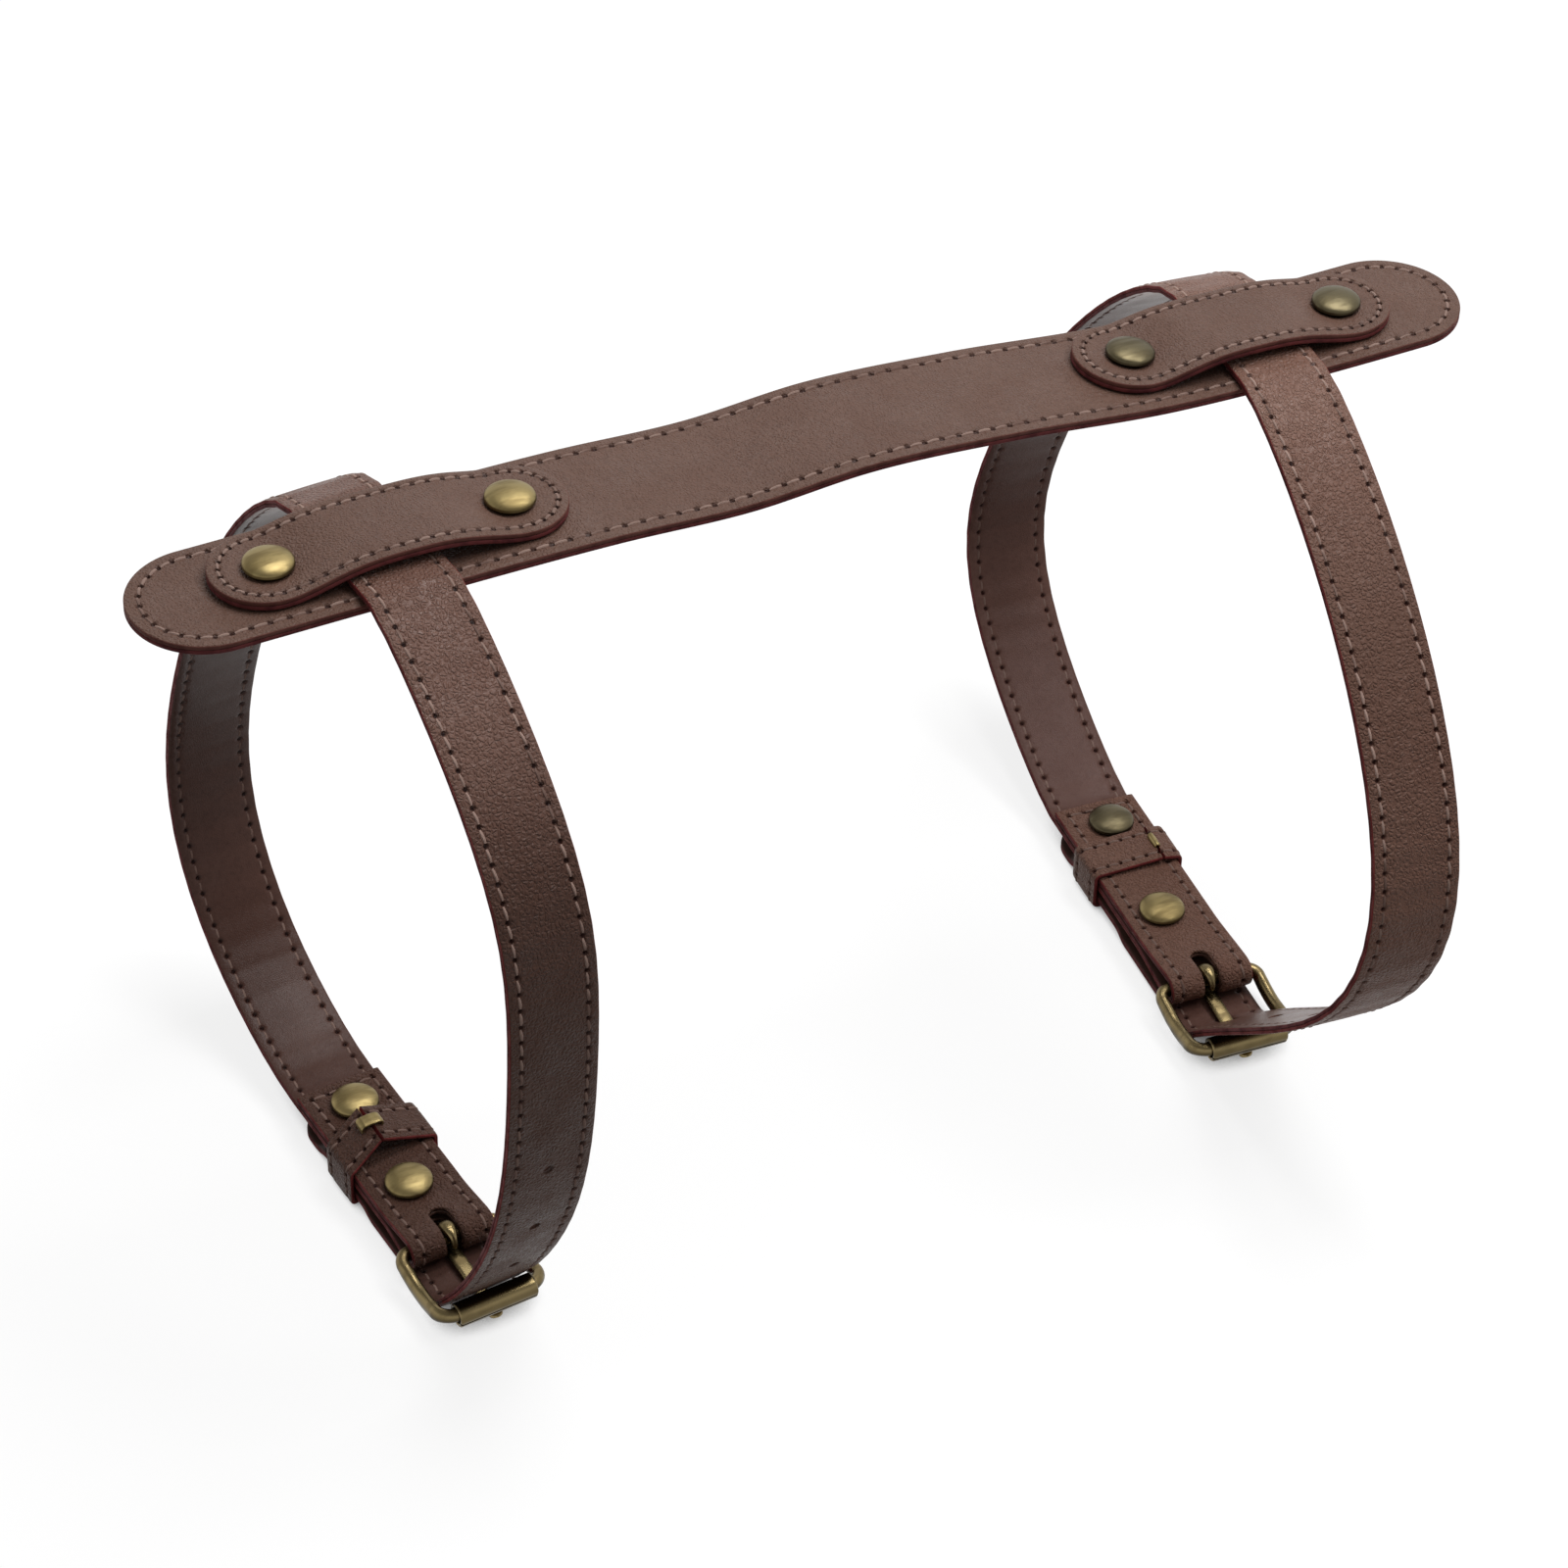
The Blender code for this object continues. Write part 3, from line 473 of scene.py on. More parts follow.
class NodeTree:
    """Node tree with short calls that add and join nodes."""

    def __init__(self, owner: Material | bpy.types.World) -> None:
        """Start on the nodes of a material or a world."""
        owner.use_nodes = True
        self.nodes, self.links = owner.node_tree.nodes, owner.node_tree.links

    def join(self, socket: Socket, value: object) -> None:
        """Give a socket a value, or link another node's output to it.

        Args:
            socket: Input of a node.
            value: Value or output.
        """
        if isinstance(value, Socket):
            self.links.new(value, socket)
        else:
            socket.default_value = value

    def add(self, kind: str, settings: dict[str, object], inputs: dict[str | int, object]) -> bpy.types.Node:
        """Add a node.

        Args:
            kind: Blender's name of the node type.
            settings: Properties of the node.
            inputs: Sockets by name or number, each a value or another node's output.

        Returns:
            The node.
        """
        node = self.nodes.new(kind)
        for key, value in settings.items():
            setattr(node, key, value)
        for key, value in inputs.items():
            self.join(node.inputs[key], value)
        return node

    def math(self, operation: str, *values: object) -> Socket:
        """Result of a math node."""
        return self.add("ShaderNodeMath", {"operation": operation}, dict(enumerate(values))).outputs[0]

    def span(self, value: Socket, low: float, high: float, to: Span) -> Socket:
        """Move a value from the span low to high onto another span, eased and clamped."""
        inputs = {"Value": value, "From Min": low, "From Max": high, "To Min": to[0], "To Max": to[1]}
        return self.add("ShaderNodeMapRange", {"interpolation_type": "SMOOTHSTEP"}, inputs).outputs["Result"]


class NodeBoard(NodeTree):
    """Node tree of a Principled material on Object coordinates."""

    def __init__(self, name: str) -> None:
        """Start the material.

        Args:
            name: Name of the material.
        """
        self.material = bpy.data.materials.new(name)
        super().__init__(self.material)
        self.shader = self.nodes["Principled BSDF"]

    @cached_property
    def place(self) -> Socket:
        """Object coordinates."""
        return self.add("ShaderNodeTexCoord", {}, {}).outputs["Object"]

    @cached_property
    def level(self) -> Socket:
        """Height above the ground in metres."""
        return self.add("ShaderNodeSeparateXYZ", {}, {0: self.place}).outputs["Z"]

    def noise(self, scale: float, detail: float = 3.0, rough: float = 0.55) -> Socket:
        """Noise value between about 0 and 1 on Object coordinates."""
        inputs = {"Vector": self.place, "Scale": scale, "Detail": detail, "Roughness": rough}
        return self.add("ShaderNodeTexNoise", {}, inputs).outputs["Fac"]

    def streaks(self, scale: float, stretch: Point) -> Socket:
        """Noise that is drawn out along one direction of turned Object coordinates.

        Args:
            scale: Scale of the noise.
            stretch: Scale along each turned axis.

        Returns:
            Value between about 0 and 1.
        """
        turn = {"Vector": self.place, "Rotation": (0.0, 0.0, 0.6), "Scale": stretch}
        place = self.add("ShaderNodeMapping", {}, turn).outputs[0]
        inputs = {"Vector": place, "Scale": scale, "Detail": 3.0}
        return self.add("ShaderNodeTexNoise", {}, inputs).outputs["Fac"]

    def pebbles(self, scale: float, stray: float) -> Socket:
        """Distance to the edge in a Voronoi pattern whose coordinates stray with noise.

        Args:
            scale: Scale of the pattern.
            stray: How far the coordinates stray.

        Returns:
            Distance in the pattern.
        """
        waves = {"Vector": self.place, "Scale": 0.6 * scale, "Detail": 2.0}
        noise = self.add("ShaderNodeTexNoise", {}, waves).outputs["Color"]
        inputs = {0: noise, 1: (stray, stray, stray), 2: self.place}
        place = self.add("ShaderNodeVectorMath", {"operation": "MULTIPLY_ADD"}, inputs).outputs[0]
        pattern, inputs = {"feature": "DISTANCE_TO_EDGE"}, {"Vector": place, "Scale": scale}
        return self.add("ShaderNodeTexVoronoi", pattern, inputs).outputs["Distance"]

    def sum(self, first: Socket, share: float, second: Socket) -> Socket:
        """First value plus a share of the second."""
        return self.math("MULTIPLY_ADD", second, share, first)

    def mix(self, share: Socket, first: Socket | Colour, second: Socket | Colour) -> Socket:
        """Colour between two colours.

        Args:
            share: Share of the second colour.
            first: First colour.
            second: Second colour.

        Returns:
            Colour.
        """
        colours = [(*c, 1.0) if isinstance(c, tuple) else c for c in (first, second)]
        inputs = {0: share, 6: colours[0], 7: colours[1]}
        return self.add("ShaderNodeMix", {"data_type": "RGBA"}, inputs).outputs[2]

    def pit(self) -> Socket:
        """Darkness of the mesh's own dark places."""
        return self.add("ShaderNodeAttribute", {"attribute_name": "pit"}, {}).outputs["Fac"]

    def bump(self, height: Socket, strength: float, distance: float) -> None:
        """Give the shader a bump from a height."""
        inputs = {"Height": height, "Strength": strength, "Distance": distance}
        self.set(Normal=self.add("ShaderNodeBump", {}, inputs).outputs["Normal"])

    def set(self, **values: object) -> None:
        """Set or link the shader's sockets; a name's underscores stand for spaces."""
        for key, value in values.items():
            self.join(self.shader.inputs[key.replace("_", " ")], value)


@dataclass(frozen=True)
class LeatherFinish:
    """Grained leather with a soft sheen, painted light and shade by height, and painted shade in its needle
    holes.
    """

    name: str
    colour: Colour
    worn: Colour
    grain: float = 1050.0
    grain_depth: float = 0.15 * MM
    rough: Span = (0.40, 0.54)
    specular: Span = (0.22, 0.22)
    tint: Colour = WHITE
    painted_shading: Span = (1.0, 1.0)
    heights: Span = (0.14, 0.178)
    painted_ground_light: float = 1.0
    ground_light_heights: Span = (0.0, 0.01)
    pit_shares: Colour = (0.20, 0.09, 0.08)

    def material(self) -> Material:
        """Pebbles are straying Voronoi cells over fine noise; slow noise changes tone and gloss, and height
        changes gloss and paints light and shade into the tone.

        Returns:
            The material.
        """
        board = NodeBoard(self.name)
        patches = board.span(board.noise(38.0, 4.0), 0.34, 0.68, (0.0, 0.75))
        specks = board.span(board.noise(700.0, 2.0), 0.42, 0.72, (0.0, 0.35))
        tone = board.mix(patches, self.colour, self.worn)
        tone = board.mix(specks, tone, tuple(0.72 * c for c in self.colour))
        # Painted light and shade by height: darker low on a strap, paler up at the handle, and lifted again
        # near the ground.
        painted_shade = board.span(board.level, *self.heights, self.painted_shading)
        ground_light = board.span(board.level, *self.ground_light_heights, (self.painted_ground_light, 1.0))
        value = board.math("MULTIPLY", painted_shade, ground_light)
        tone = board.add("ShaderNodeHueSaturation", {}, {"Value": value, "Color": tone}).outputs[0]
        # Painted shade in the needle holes and hole walls, from the mesh's pit attribute.
        tone = board.mix(board.pit(), tone, tuple(p * c for p, c in zip(self.pit_shares, self.colour)))
        pebbles = board.span(board.pebbles(self.grain, 0.9 / self.grain), 0.0, 0.34, (0.0, 1.0))
        height = board.sum(pebbles, 0.5, board.noise(2.6 * self.grain, 3.0))
        height = board.sum(height, 1.3, board.noise(0.3 * self.grain, 3.0))
        board.bump(height, 1.0, self.grain_depth)
        gloss = board.span(board.noise(95.0, 4.0), 0.3, 0.7, self.rough)
        polish = board.span(board.level, *self.heights, self.specular)
        board.set(Base_Color=tone, Roughness=gloss, Specular_IOR_Level=polish)
        board.set(Specular_Tint=(*self.tint, 1.0))
        return board.material


@dataclass(frozen=True)
class EdgeFinish:
    """Paint on the cut edges of the leather."""

    name: str
    colour: Colour
    worn: Colour

    def material(self) -> Material:
        """Paint whose tone and height change with noise, as brushed paint does.

        Returns:
            The material.
        """
        board = NodeBoard(self.name)
        blots = board.span(board.noise(260.0, 4.0), 0.38, 0.66, (0.0, 1.0))
        tone = board.mix(blots, self.colour, self.worn)
        board.bump(board.noise(900.0, 3.0), 0.5, 0.12 * MM)
        gloss = board.span(blots, 0.0, 1.0, (0.52, 0.66))
        board.set(Base_Color=tone, Roughness=gloss, Specular_IOR_Level=0.05)
        return board.material


@dataclass(frozen=True)
class ThreadFinish:
    """Waxed thread."""

    name: str
    colour: Colour
    soiled_and_shaded: Colour = (0.122, 0.068, 0.053)

    def material(self) -> Material:
        """Fibres are fine noise. Slow noise soils some stitches, and painted shade darkens those of the lower
        loop, all but its flap's.

        Returns:
            The material.
        """
        board = NodeBoard(self.name)
        soil_and_shade = board.span(board.noise(75.0, 4.0), 0.44, 0.68, (0.0, 0.9))
        # Painted shade: the thread darkens towards the ground, less at the flap.
        low = board.span(board.level, 0.06, 0.13, (0.75, 0.0))
        flap = board.span(board.level, 0.02, 0.035, (0.58, 1.0))
        soil_and_shade = board.math("MAXIMUM", board.math("MINIMUM", low, flap), soil_and_shade)
        board.bump(board.noise(5200.0, 2.0), 0.6, 0.08 * MM)
        tone = board.mix(soil_and_shade, self.colour, self.soiled_and_shaded)
        board.set(Base_Color=tone, Roughness=0.72, Specular_IOR_Level=0.2)
        return board.material


@dataclass(frozen=True)
class BrassFinish:
    """Antique brass: rubbed metal over a dark patina."""

    name: str
    rubbed: Colour
    patina: Colour
    rough: Span = (0.26, 0.44)
    specks: float = 0.4
    dents: float = 0.20 * MM
    wear: float = 0.75

    def material(self) -> Material:
        """Patina lies in rubbed streaks and in specks of noise; the mesh's own dark places are painted shade
        in the patina's colour.

        Returns:
            The material.
        """
        board = NodeBoard(self.name)
        brushed = board.streaks(300.0, (0.35, 1.5, 1.0))
        rubs = board.span(brushed, 0.40, 0.68, (0.0, self.wear))
        specks = board.span(board.noise(1500.0, 3.0), 0.56, 0.80, (0.0, self.specks))
        tone = board.mix(rubs, self.rubbed, self.patina)
        tone = board.mix(specks, tone, self.patina)
        # Painted shade from the mesh's pit attribute, darkened to the patina's colour.
        tone = board.mix(board.pit(), tone, tuple(0.35 * c for c in self.patina))
        board.bump(board.sum(board.noise(260.0, 2.0), 0.6, brushed), 0.5, self.dents)
        gloss = board.span(rubs, 0.0, self.wear, self.rough)
        board.set(Base_Color=tone, Roughness=gloss, Metallic=1.0)
        return board.material


@dataclass
class Finishes:
    """Materials of the whole carrier."""

    handle: Material
    straps: dict[str, Material]
    lining: Material
    linings: dict[str, Material]
    edge: Material
    under_edge: Material
    strap_edge: Material
    thread: Material
    plate_thread: Material
    brass: Material
    dull_brass: Material
    bronze: Material

    @staticmethod
    def strap(side: str, colour: Colour, worn: Colour, painted_shading: Span, painted_ground_light: float, height: float) -> Material:
        """Leather of one strap, glossier up at the handle, with painted shading that darkens it low down and
        pales it up there, and painted light that lifts it near the ground up to a height.
        """
        return LeatherFinish(
            f"{side}_strap_leather", colour, worn, grain=920.0, grain_depth=0.25 * MM,
            specular=(0.16, 0.42), painted_shading=painted_shading, painted_ground_light=painted_ground_light, ground_light_heights=(height - 45 * MM, height),
        ).material()

    @staticmethod
    def inside(
        side: str, colour: Colour, worn: Colour, top: float, height: float, polish: float = 0.45,
        tint: Colour = WHITE,
    ) -> Material:
        """Smooth leather inside the handle or one strap, glossier at its top and paler there by painted
        light.
        """
        return LeatherFinish(
            f"{side}_lining_leather", colour, worn, grain=1900.0, grain_depth=0.02 * MM,
            rough=(0.28, 0.36), specular=(0.13, polish), tint=tint, painted_shading=(1.0, top),
            heights=(height - 20 * MM, height),
        ).material()

    @classmethod
    def make(cls) -> Finishes:
        """Make each material once.

        Returns:
            All the materials.
        """
        dark, dark_worn = (0.086, 0.041, 0.031), (0.108, 0.056, 0.044)
        cap = {"rough": (0.38, 0.50), "specks": 0.25}
        wire = {"specks": 0.0, "dents": 0.01 * MM, "wear": 0.35}
        return cls(
            handle=LeatherFinish(
                "handle_leather", (0.128, 0.067, 0.048), (0.150, 0.083, 0.061), grain_depth=0.14 * MM
            ).material(),
            # The left strap's leather is darker and the right strap's paler: partly their own tone, partly
            # painted shade and light.
            straps={
                "left": cls.strap(
                    "left", (0.110, 0.051, 0.035), (0.132, 0.066, 0.047), (0.72, 1.36), 1.16, 0.085
                ),
                "right": cls.strap(
                    "right", (0.155, 0.076, 0.053), (0.180, 0.095, 0.069), (0.85, 1.28), 1.38, 0.13
                ),
            },
            lining=cls.inside("handle", dark, dark_worn, 1.0, 0.185),
            linings={
                "left": cls.inside("left", dark, dark_worn, 3.4, 0.185),
                # The right lining's paler colour is painted light.
                "right": cls.inside(
                    "right", (0.122, 0.060, 0.046), (0.148, 0.078, 0.062), 3.0, 0.171, 0.62, (1.0, 0.83, 0.83)
                ),
            },
            edge=EdgeFinish("edge_paint", (0.185, 0.077, 0.062), (0.140, 0.055, 0.045)).material(),
            under_edge=EdgeFinish(
                "under_edge_paint", (0.200, 0.053, 0.053), (0.115, 0.032, 0.034)
            ).material(),
            strap_edge=EdgeFinish(
                "strap_edge_paint", (0.270, 0.055, 0.052), (0.170, 0.036, 0.035)
            ).material(),
            thread=ThreadFinish("strap_thread", (0.38, 0.258, 0.216)).material(),
            plate_thread=ThreadFinish("plate_thread", (0.30, 0.203, 0.170)).material(),
            brass=BrassFinish("antique_brass", (0.30, 0.232, 0.102), (0.150, 0.110, 0.046), **cap).material(),
            # Darker copy of the brass: painted shade for the caps whose reflections are darker.
            dull_brass=BrassFinish(
                "dull_brass", (0.130, 0.108, 0.062), (0.078, 0.062, 0.034), **cap
            ).material(),
            bronze=BrassFinish("dark_brass", (0.225, 0.172, 0.083), (0.085, 0.060, 0.027), **wire).material(),
        )


# Sewn leather


@dataclass(frozen=True)
class Clearances:
    """Room between neighbouring pieces."""

    seat: float = 0.3 * MM
    glue: float = 0.1 * MM
    passing: float = 0.4 * MM
    running: float = 0.35 * MM


@dataclass(frozen=True)
class Seam:
    """Row of stitches: needle holes with thread between them, drawn into a shallow channel."""

    pitch: float = 4.2 * MM
    inset: float = 2.7 * MM
    hole: float = 0.54 * MM
    hole_depth: float = 0.7 * MM
    channel: float = 0.10 * MM
    channel_width: float = 0.75 * MM
    thread_width: float = 0.76 * MM
    thread_thickness: float = 0.46 * MM
    thread_ends: Span = (0.15, 0.85)
    thread_sizes: Span = (0.88, 1.1)
    thread_sunk: float = 0.42 * MM
    thread_rise: float = 0.44 * MM
    slant: float = 0.16 * MM
    stray: float = 0.10 * MM
    fall: float = 0.15 * MM
    fall_reach: float = 0.8
    hole_power: float = 1.8
    hole_dark: float = 1.25
    arch_span: Span = (0.06, 0.88)
    arch_power: float = 0.6
    oval: Span = (0.72, 0.28)
    channel_sunk: float = 0.6
    fractions: tuple[float, ...] = (0.0, 0.05, 0.10, 0.18, 0.31, 0.44, 0.56, 0.69, 0.82, 0.90, 0.95)

    def stations(self, count: int) -> Array:
        """Places along a seam of so many stitches, close together at the needle holes."""
        return ((np.arange(count)[:, None] + np.asarray(self.fractions)[None]) * self.pitch).reshape(-1)

    def edge_fall(self, inset: Array) -> Array:
        """Height of the face towards its cut edge: a soft fall that starts short of the seam."""
        return -self.fall * (1 - ease(inset / (self.fall_reach * self.inset)))

    def relief(self, along: Array, across: Array) -> tuple[Array, Array]:
        """Height of the face beside a seam, and the share of needle hole.

        The height is minus a bell-shaped channel across the seam and minus a round bell at each hole.

        Args:
            along: Distance along the seam to the nearest hole.
            across: Distance from the seam's line.

        Returns:
            Height and share of hole, both as grids.
        """
        hole = np.exp(-((along**2 + across**2) / self.hole**2) ** self.hole_power)
        channel = bell(across, self.channel_width)
        return -self.channel * channel - self.hole_depth * hole, np.clip(self.hole_dark * hole, 0.0, 1.0)

    def thread(self, seed: int, count: int) -> tuple[Array, Array, Array]:
        """Stitches in seam coordinates: low arches between neighbouring holes, with a flat oval section.

        Args:
            seed: Start of the small differences between stitches.
            count: Number of stitches.

        Returns:
            Place along in pitches, offset across and height, each of shape (stitch, ring, corner).
        """
        random = np.random.default_rng(seed)
        share = np.linspace(*self.thread_ends, 6)[None, :, None]
        turn = circle(6)[None, None, :]
        size = random.uniform(*self.thread_sizes, (count, 1, 1))
        skew = self.slant + random.uniform(-self.stray, self.stray, (count, 1, 1))
        start, reach = self.arch_span
        arch = np.sin(math.pi * (share - start) / reach) ** self.arch_power
        along = np.arange(count)[:, None, None] + share + 0 * turn
        least, more = self.oval
        oval = size * (least + more * arch) / 2
        across = oval * self.thread_width * np.cos(turn) + skew * (2 * share - 1)
        height = self.thread_rise * arch - self.thread_sunk + oval * self.thread_thickness * np.sin(turn)
        return along, across, height - self.channel * self.channel_sunk


@dataclass(frozen=True)
class PlyEdge:
    """Half section of a ply from its glue face round the cut edge to the middle of its face."""

    thickness: float
    half_width: float
    seam_inset: float
    rounding: float = 0.42 * MM
    groove: float = 0.14 * MM

    def columns(self) -> tuple[Array, Array, Array]:
        """Columns of the half section.

        The wall starts in the groove at the glue line and ends in a quarter circle. On the face, columns
        gather at the seam.

        Returns:
            Inset from the edge, height above the glue face and, for the strip after each column, 1 for paint.
        """
        low = np.array([0.0, 0.12, 0.30, 0.62]) * (self.thickness - self.rounding)
        wall_inset = np.array([self.groove, 0.04 * MM, 0.0, 0.0])
        turn = np.radians([0.0, 25.0, 50.0, 72.0, 90.0])
        round_inset = self.rounding * (1 - np.cos(turn))
        round_height = self.thickness - self.rounding * (1 - np.sin(turn))
        near = self.seam_inset + np.array([-1.4, -0.85, -0.5, -0.25, 0.0, 0.25, 0.5, 0.85, 1.5]) * MM
        rest = self.half_width - near[-1]
        far = near[-1] + rest * np.array([0.18, 0.42, 0.7, 1.0])
        face = np.concatenate([[1.0 * MM], near, far])
        inset = np.concatenate([wall_inset, round_inset, face])
        height = np.concatenate([low, round_height, np.full(len(face), self.thickness)])
        paint = np.zeros(len(inset), int)
        paint[: len(low) + 2] = 1
        return inset, height, paint

    def section(self) -> tuple[Array, Array, Array, Array]:
        """Whole section from one edge over the face to the other.

        Returns:
            Side, inset, height and paint, where the paint is of the strips between columns.
        """
        inset, height, paint = self.columns()
        side = np.concatenate([-np.ones(len(inset)), np.ones(len(inset) - 1)])
        return side, mirrored(inset), mirrored(height), np.concatenate([paint[:-1], paint[-2::-1]])

    def face_share(self, height: Array) -> Array:
        """Share of the face's relief at a height: none below half the thickness and all on the face."""
        return ease((height - 0.5 * self.thickness) / (0.5 * self.thickness))


@dataclass(frozen=True)
class HandleSizes:
    """Carry handle: a stadium of two plies whose top face rises and sags along its length."""

    length: float = 334 * MM
    width: float = 35 * MM
    ply: float = 1.3 * MM
    seam: Seam = Seam(inset=3.1 * MM, pitch=4.36 * MM, hole=0.64 * MM, fall=0.16 * MM)
    band_spacing: float = 213.4 * MM
    rise: tuple[tuple[float, float], ...] = (
        (-1.57, 187.8 * MM),
        (-1.00, 186.8 * MM),
        (-0.56, 185.4 * MM),
        (-0.26, 183.3 * MM),
        (0.02, 184.4 * MM),
        (0.37, 181.2 * MM),
        (0.75, 175.8 * MM),
        (1.00, 174.0 * MM),
        (1.57, 172.5 * MM),
    )

    def height(self, x: Array) -> Array:
        """Height of the top face: cubics through the given heights, with the slopes of their neighbours.

        Args:
            x: Places along the handle from its middle.

        Returns:
            Heights, in the same shape.
        """
        place, height = np.array(self.rise).T
        place = place * self.band_spacing / 2
        slope = np.gradient(height, place)
        i = np.clip(np.searchsorted(place, x) - 1, 0, len(place) - 2)
        span = place[i + 1] - place[i]
        u = np.clip((x - place[i]) / span, 0.0, 1.0)
        return cubic(u, height[i], span * slope[i], height[i + 1], span * slope[i + 1])

    def slope(self, x: float) -> float:
        """Slope of the top face along X, from the heights a millimetre to each side."""
        heights = self.height(np.array([x - MM, x + MM]))
        return float((heights[1] - heights[0]) / (2 * MM))


@dataclass(frozen=True)
class BandSizes:
    """Bands that hold the straps to the handle."""

    length: float = 83 * MM
    width: float = 25.6 * MM
    shift: float = 0.6 * MM
    ply: float = 1.3 * MM
    seam: Seam = Seam(inset=2.5 * MM, pitch=3.44 * MM, hole=0.64 * MM, fall=0.16 * MM)
    rivet_pitch: float = 56.6 * MM
    arch: float = 3.6 * MM
    arch_tilt: float = 0.6 * MM
    foot: float = 24 * MM
    edge_foot: float = 29 * MM
    fullness: float = 1.9
    front_fullness: float = 0.5


@dataclass(frozen=True)
class StrapSizes:
    """Sizes that both straps share."""

    width: float = 21.8 * MM
    ply: float = 1.0 * MM
    seam: Seam = Seam()
    flap_past_rivet: float = 9 * MM
    tail_past_flap: float = 2.5 * MM
    tail_tip: float = 9 * MM
    tail_bend: float = 6 * MM
    row_past_rivet: float = 7.4 * MM
    end_rounding: float = 0.42 * MM
    hole: float = 3.3 * MM
    hole_flare: float = 0.62
    hole_wall_pit: float = 0.7
    lining_thread_sunk: float = 0.14 * MM
    hole_pitch: float = 22.7 * MM
    first_free_hole: float = 30 * MM
    spare_tail_holes: int = 2
    station: float = 8 * MM
    smoothing: Span = (4 * MM, 0.25 * MM)
    fold_spread: float = 0.6
    unsewn_tip: float = 0.55
    tip_least: float = 0.03
    end_lip: float = 0.9
    punch_reach: float = 1.6


@dataclass(frozen=True)
class RivetSizes:
    """Rivets with domed caps."""

    cap: float = 11.6 * MM
    cap_height: float = 2.6 * MM
    rim: float = 0.7 * MM
    foot: float = 8.5 * MM
    foot_height: float = 1.0 * MM
    stem: float = 3.5 * MM
    socket: float = 1.5 * MM
    lip: float = 0.34 * MM
    lip_inset: float = 0.32 * MM
    lip_drop: float = 0.28 * MM
    skirt_inset: float = 0.55 * MM
    bite: float = 0.25 * MM
    lip_arc: Span = (math.radians(35), math.radians(-85))
    dome_power: float = 0.92
    foot_edge: float = 0.35 * MM
    foot_edge_drop: float = 0.4 * MM
    foot_arc: Span = (math.radians(80), math.radians(-60))
    foot_flat: float = 0.6 * MM
    foot_hollow: float = 0.1 * MM
    post_pit: float = 0.35
    foot_rim_share: float = 0.7
    hollow_share: float = 0.35
    dome_dark: float = 0.55
    dome_dark_span: Span = (1.1, 0.45)
    lip_dark: Span = (0.6, 1.0)
    press: float = 0.28 * MM
    press_rim: float = 0.46

    def pressed(self, away: Array, reach: float) -> Array:
        """Height of leather round a rivet: pressed down by the cap, fading from near its rim over a reach."""
        return -self.press * (1 - ease((away - self.press_rim * self.cap) / reach))


@dataclass(frozen=True)
class KeeperSizes:
    """Keepers and their staples."""

    width: float = 12.8 * MM
    ply: float = 1.2 * MM
    rounding: float = 0.4 * MM
    seam: Seam = Seam(inset=2.4 * MM, pitch=3.6 * MM, fall=0.12 * MM, fall_reach=0.9)
    staple_height: float = 0.8 * MM
    staple_leg: float = 1.5 * MM
    smoothing: Span = (1.2 * MM, 0.12 * MM)
    face_share: float = 0.3
    staple_smoothing: Span = (0.8 * MM, 0.2 * MM)
    staple_crown_share: float = 0.35
    staple_shoulder: float = 0.35 * MM
    staple_top_share: float = 0.8
    staple_bow: float = 0.18 * MM
    staple_powers: Span = (0.45, 0.55)


@dataclass(frozen=True)
class BuckleSizes:
    """Roller buckles."""

    wire: float = 3.2 * MM
    wire_power: float = 0.85
    wire_sides: int = 24
    frame_dark: float = 0.85
    frame_dark_span: Span = (-0.25, 1.05)
    length: float = 23 * MM
    corner: float = 2.7 * MM
    front_corner: float = 4.5 * MM
    play: float = 0.7 * MM
    bow: float = 2.2 * MM
    arm_depth: float = 4.0 * MM
    arm_taper: float = 0.25
    fold_bar_height: float = 7.0 * MM
    roller_bar_height: float = 6.4 * MM
    roller: float = 6.0 * MM
    roller_split: float = 0.5 * MM
    roller_seam: float = math.radians(200)
    roller_curl: float = 0.12 * MM
    roller_curl_reach: float = 0.35
    roller_shade: float = 0.8
    roller_shade_spans: tuple[Span, Span] = ((285, 30), (466, 20))
    roller_split_dark: Span = (0.5, 0.6)
    roller_split_spans: tuple[Span, Span] = ((498, 24), (200, 60))
    tongue_width: float = 3.4 * MM
    tongue_thickness: float = 1.7 * MM
    tongue_eye: float = 2.0 * MM
    tongue_plate: float = 1.35 * MM
    tongue_overhang: float = 1.6 * MM
    tongue_curl: float = math.radians(200)
    tongue_smoothing: Span = (3 * MM, 0.35 * MM)
    tongue_knob_span: Span = (0.03, 0.12)
    tongue_plate_span: Span = (0.36, 0.08)
    tongue_widths: tuple[float, float, float] = (0.46, 0.58, 0.02)
    tongue_tip_span: Span = (0.965, 0.035)
    tongue_eye_end: float = 0.02
    tongue_least: float = 0.04
    tongue_powers: Span = (0.95, 0.4)
    tongue_dark: float = 0.4
    tongue_dark_bell: Span = (0.45, 0.06)
    slot_width: float = 4.8 * MM
    slot_past_bar: float = 7 * MM
    tongue_hole: float = 8.8 * MM


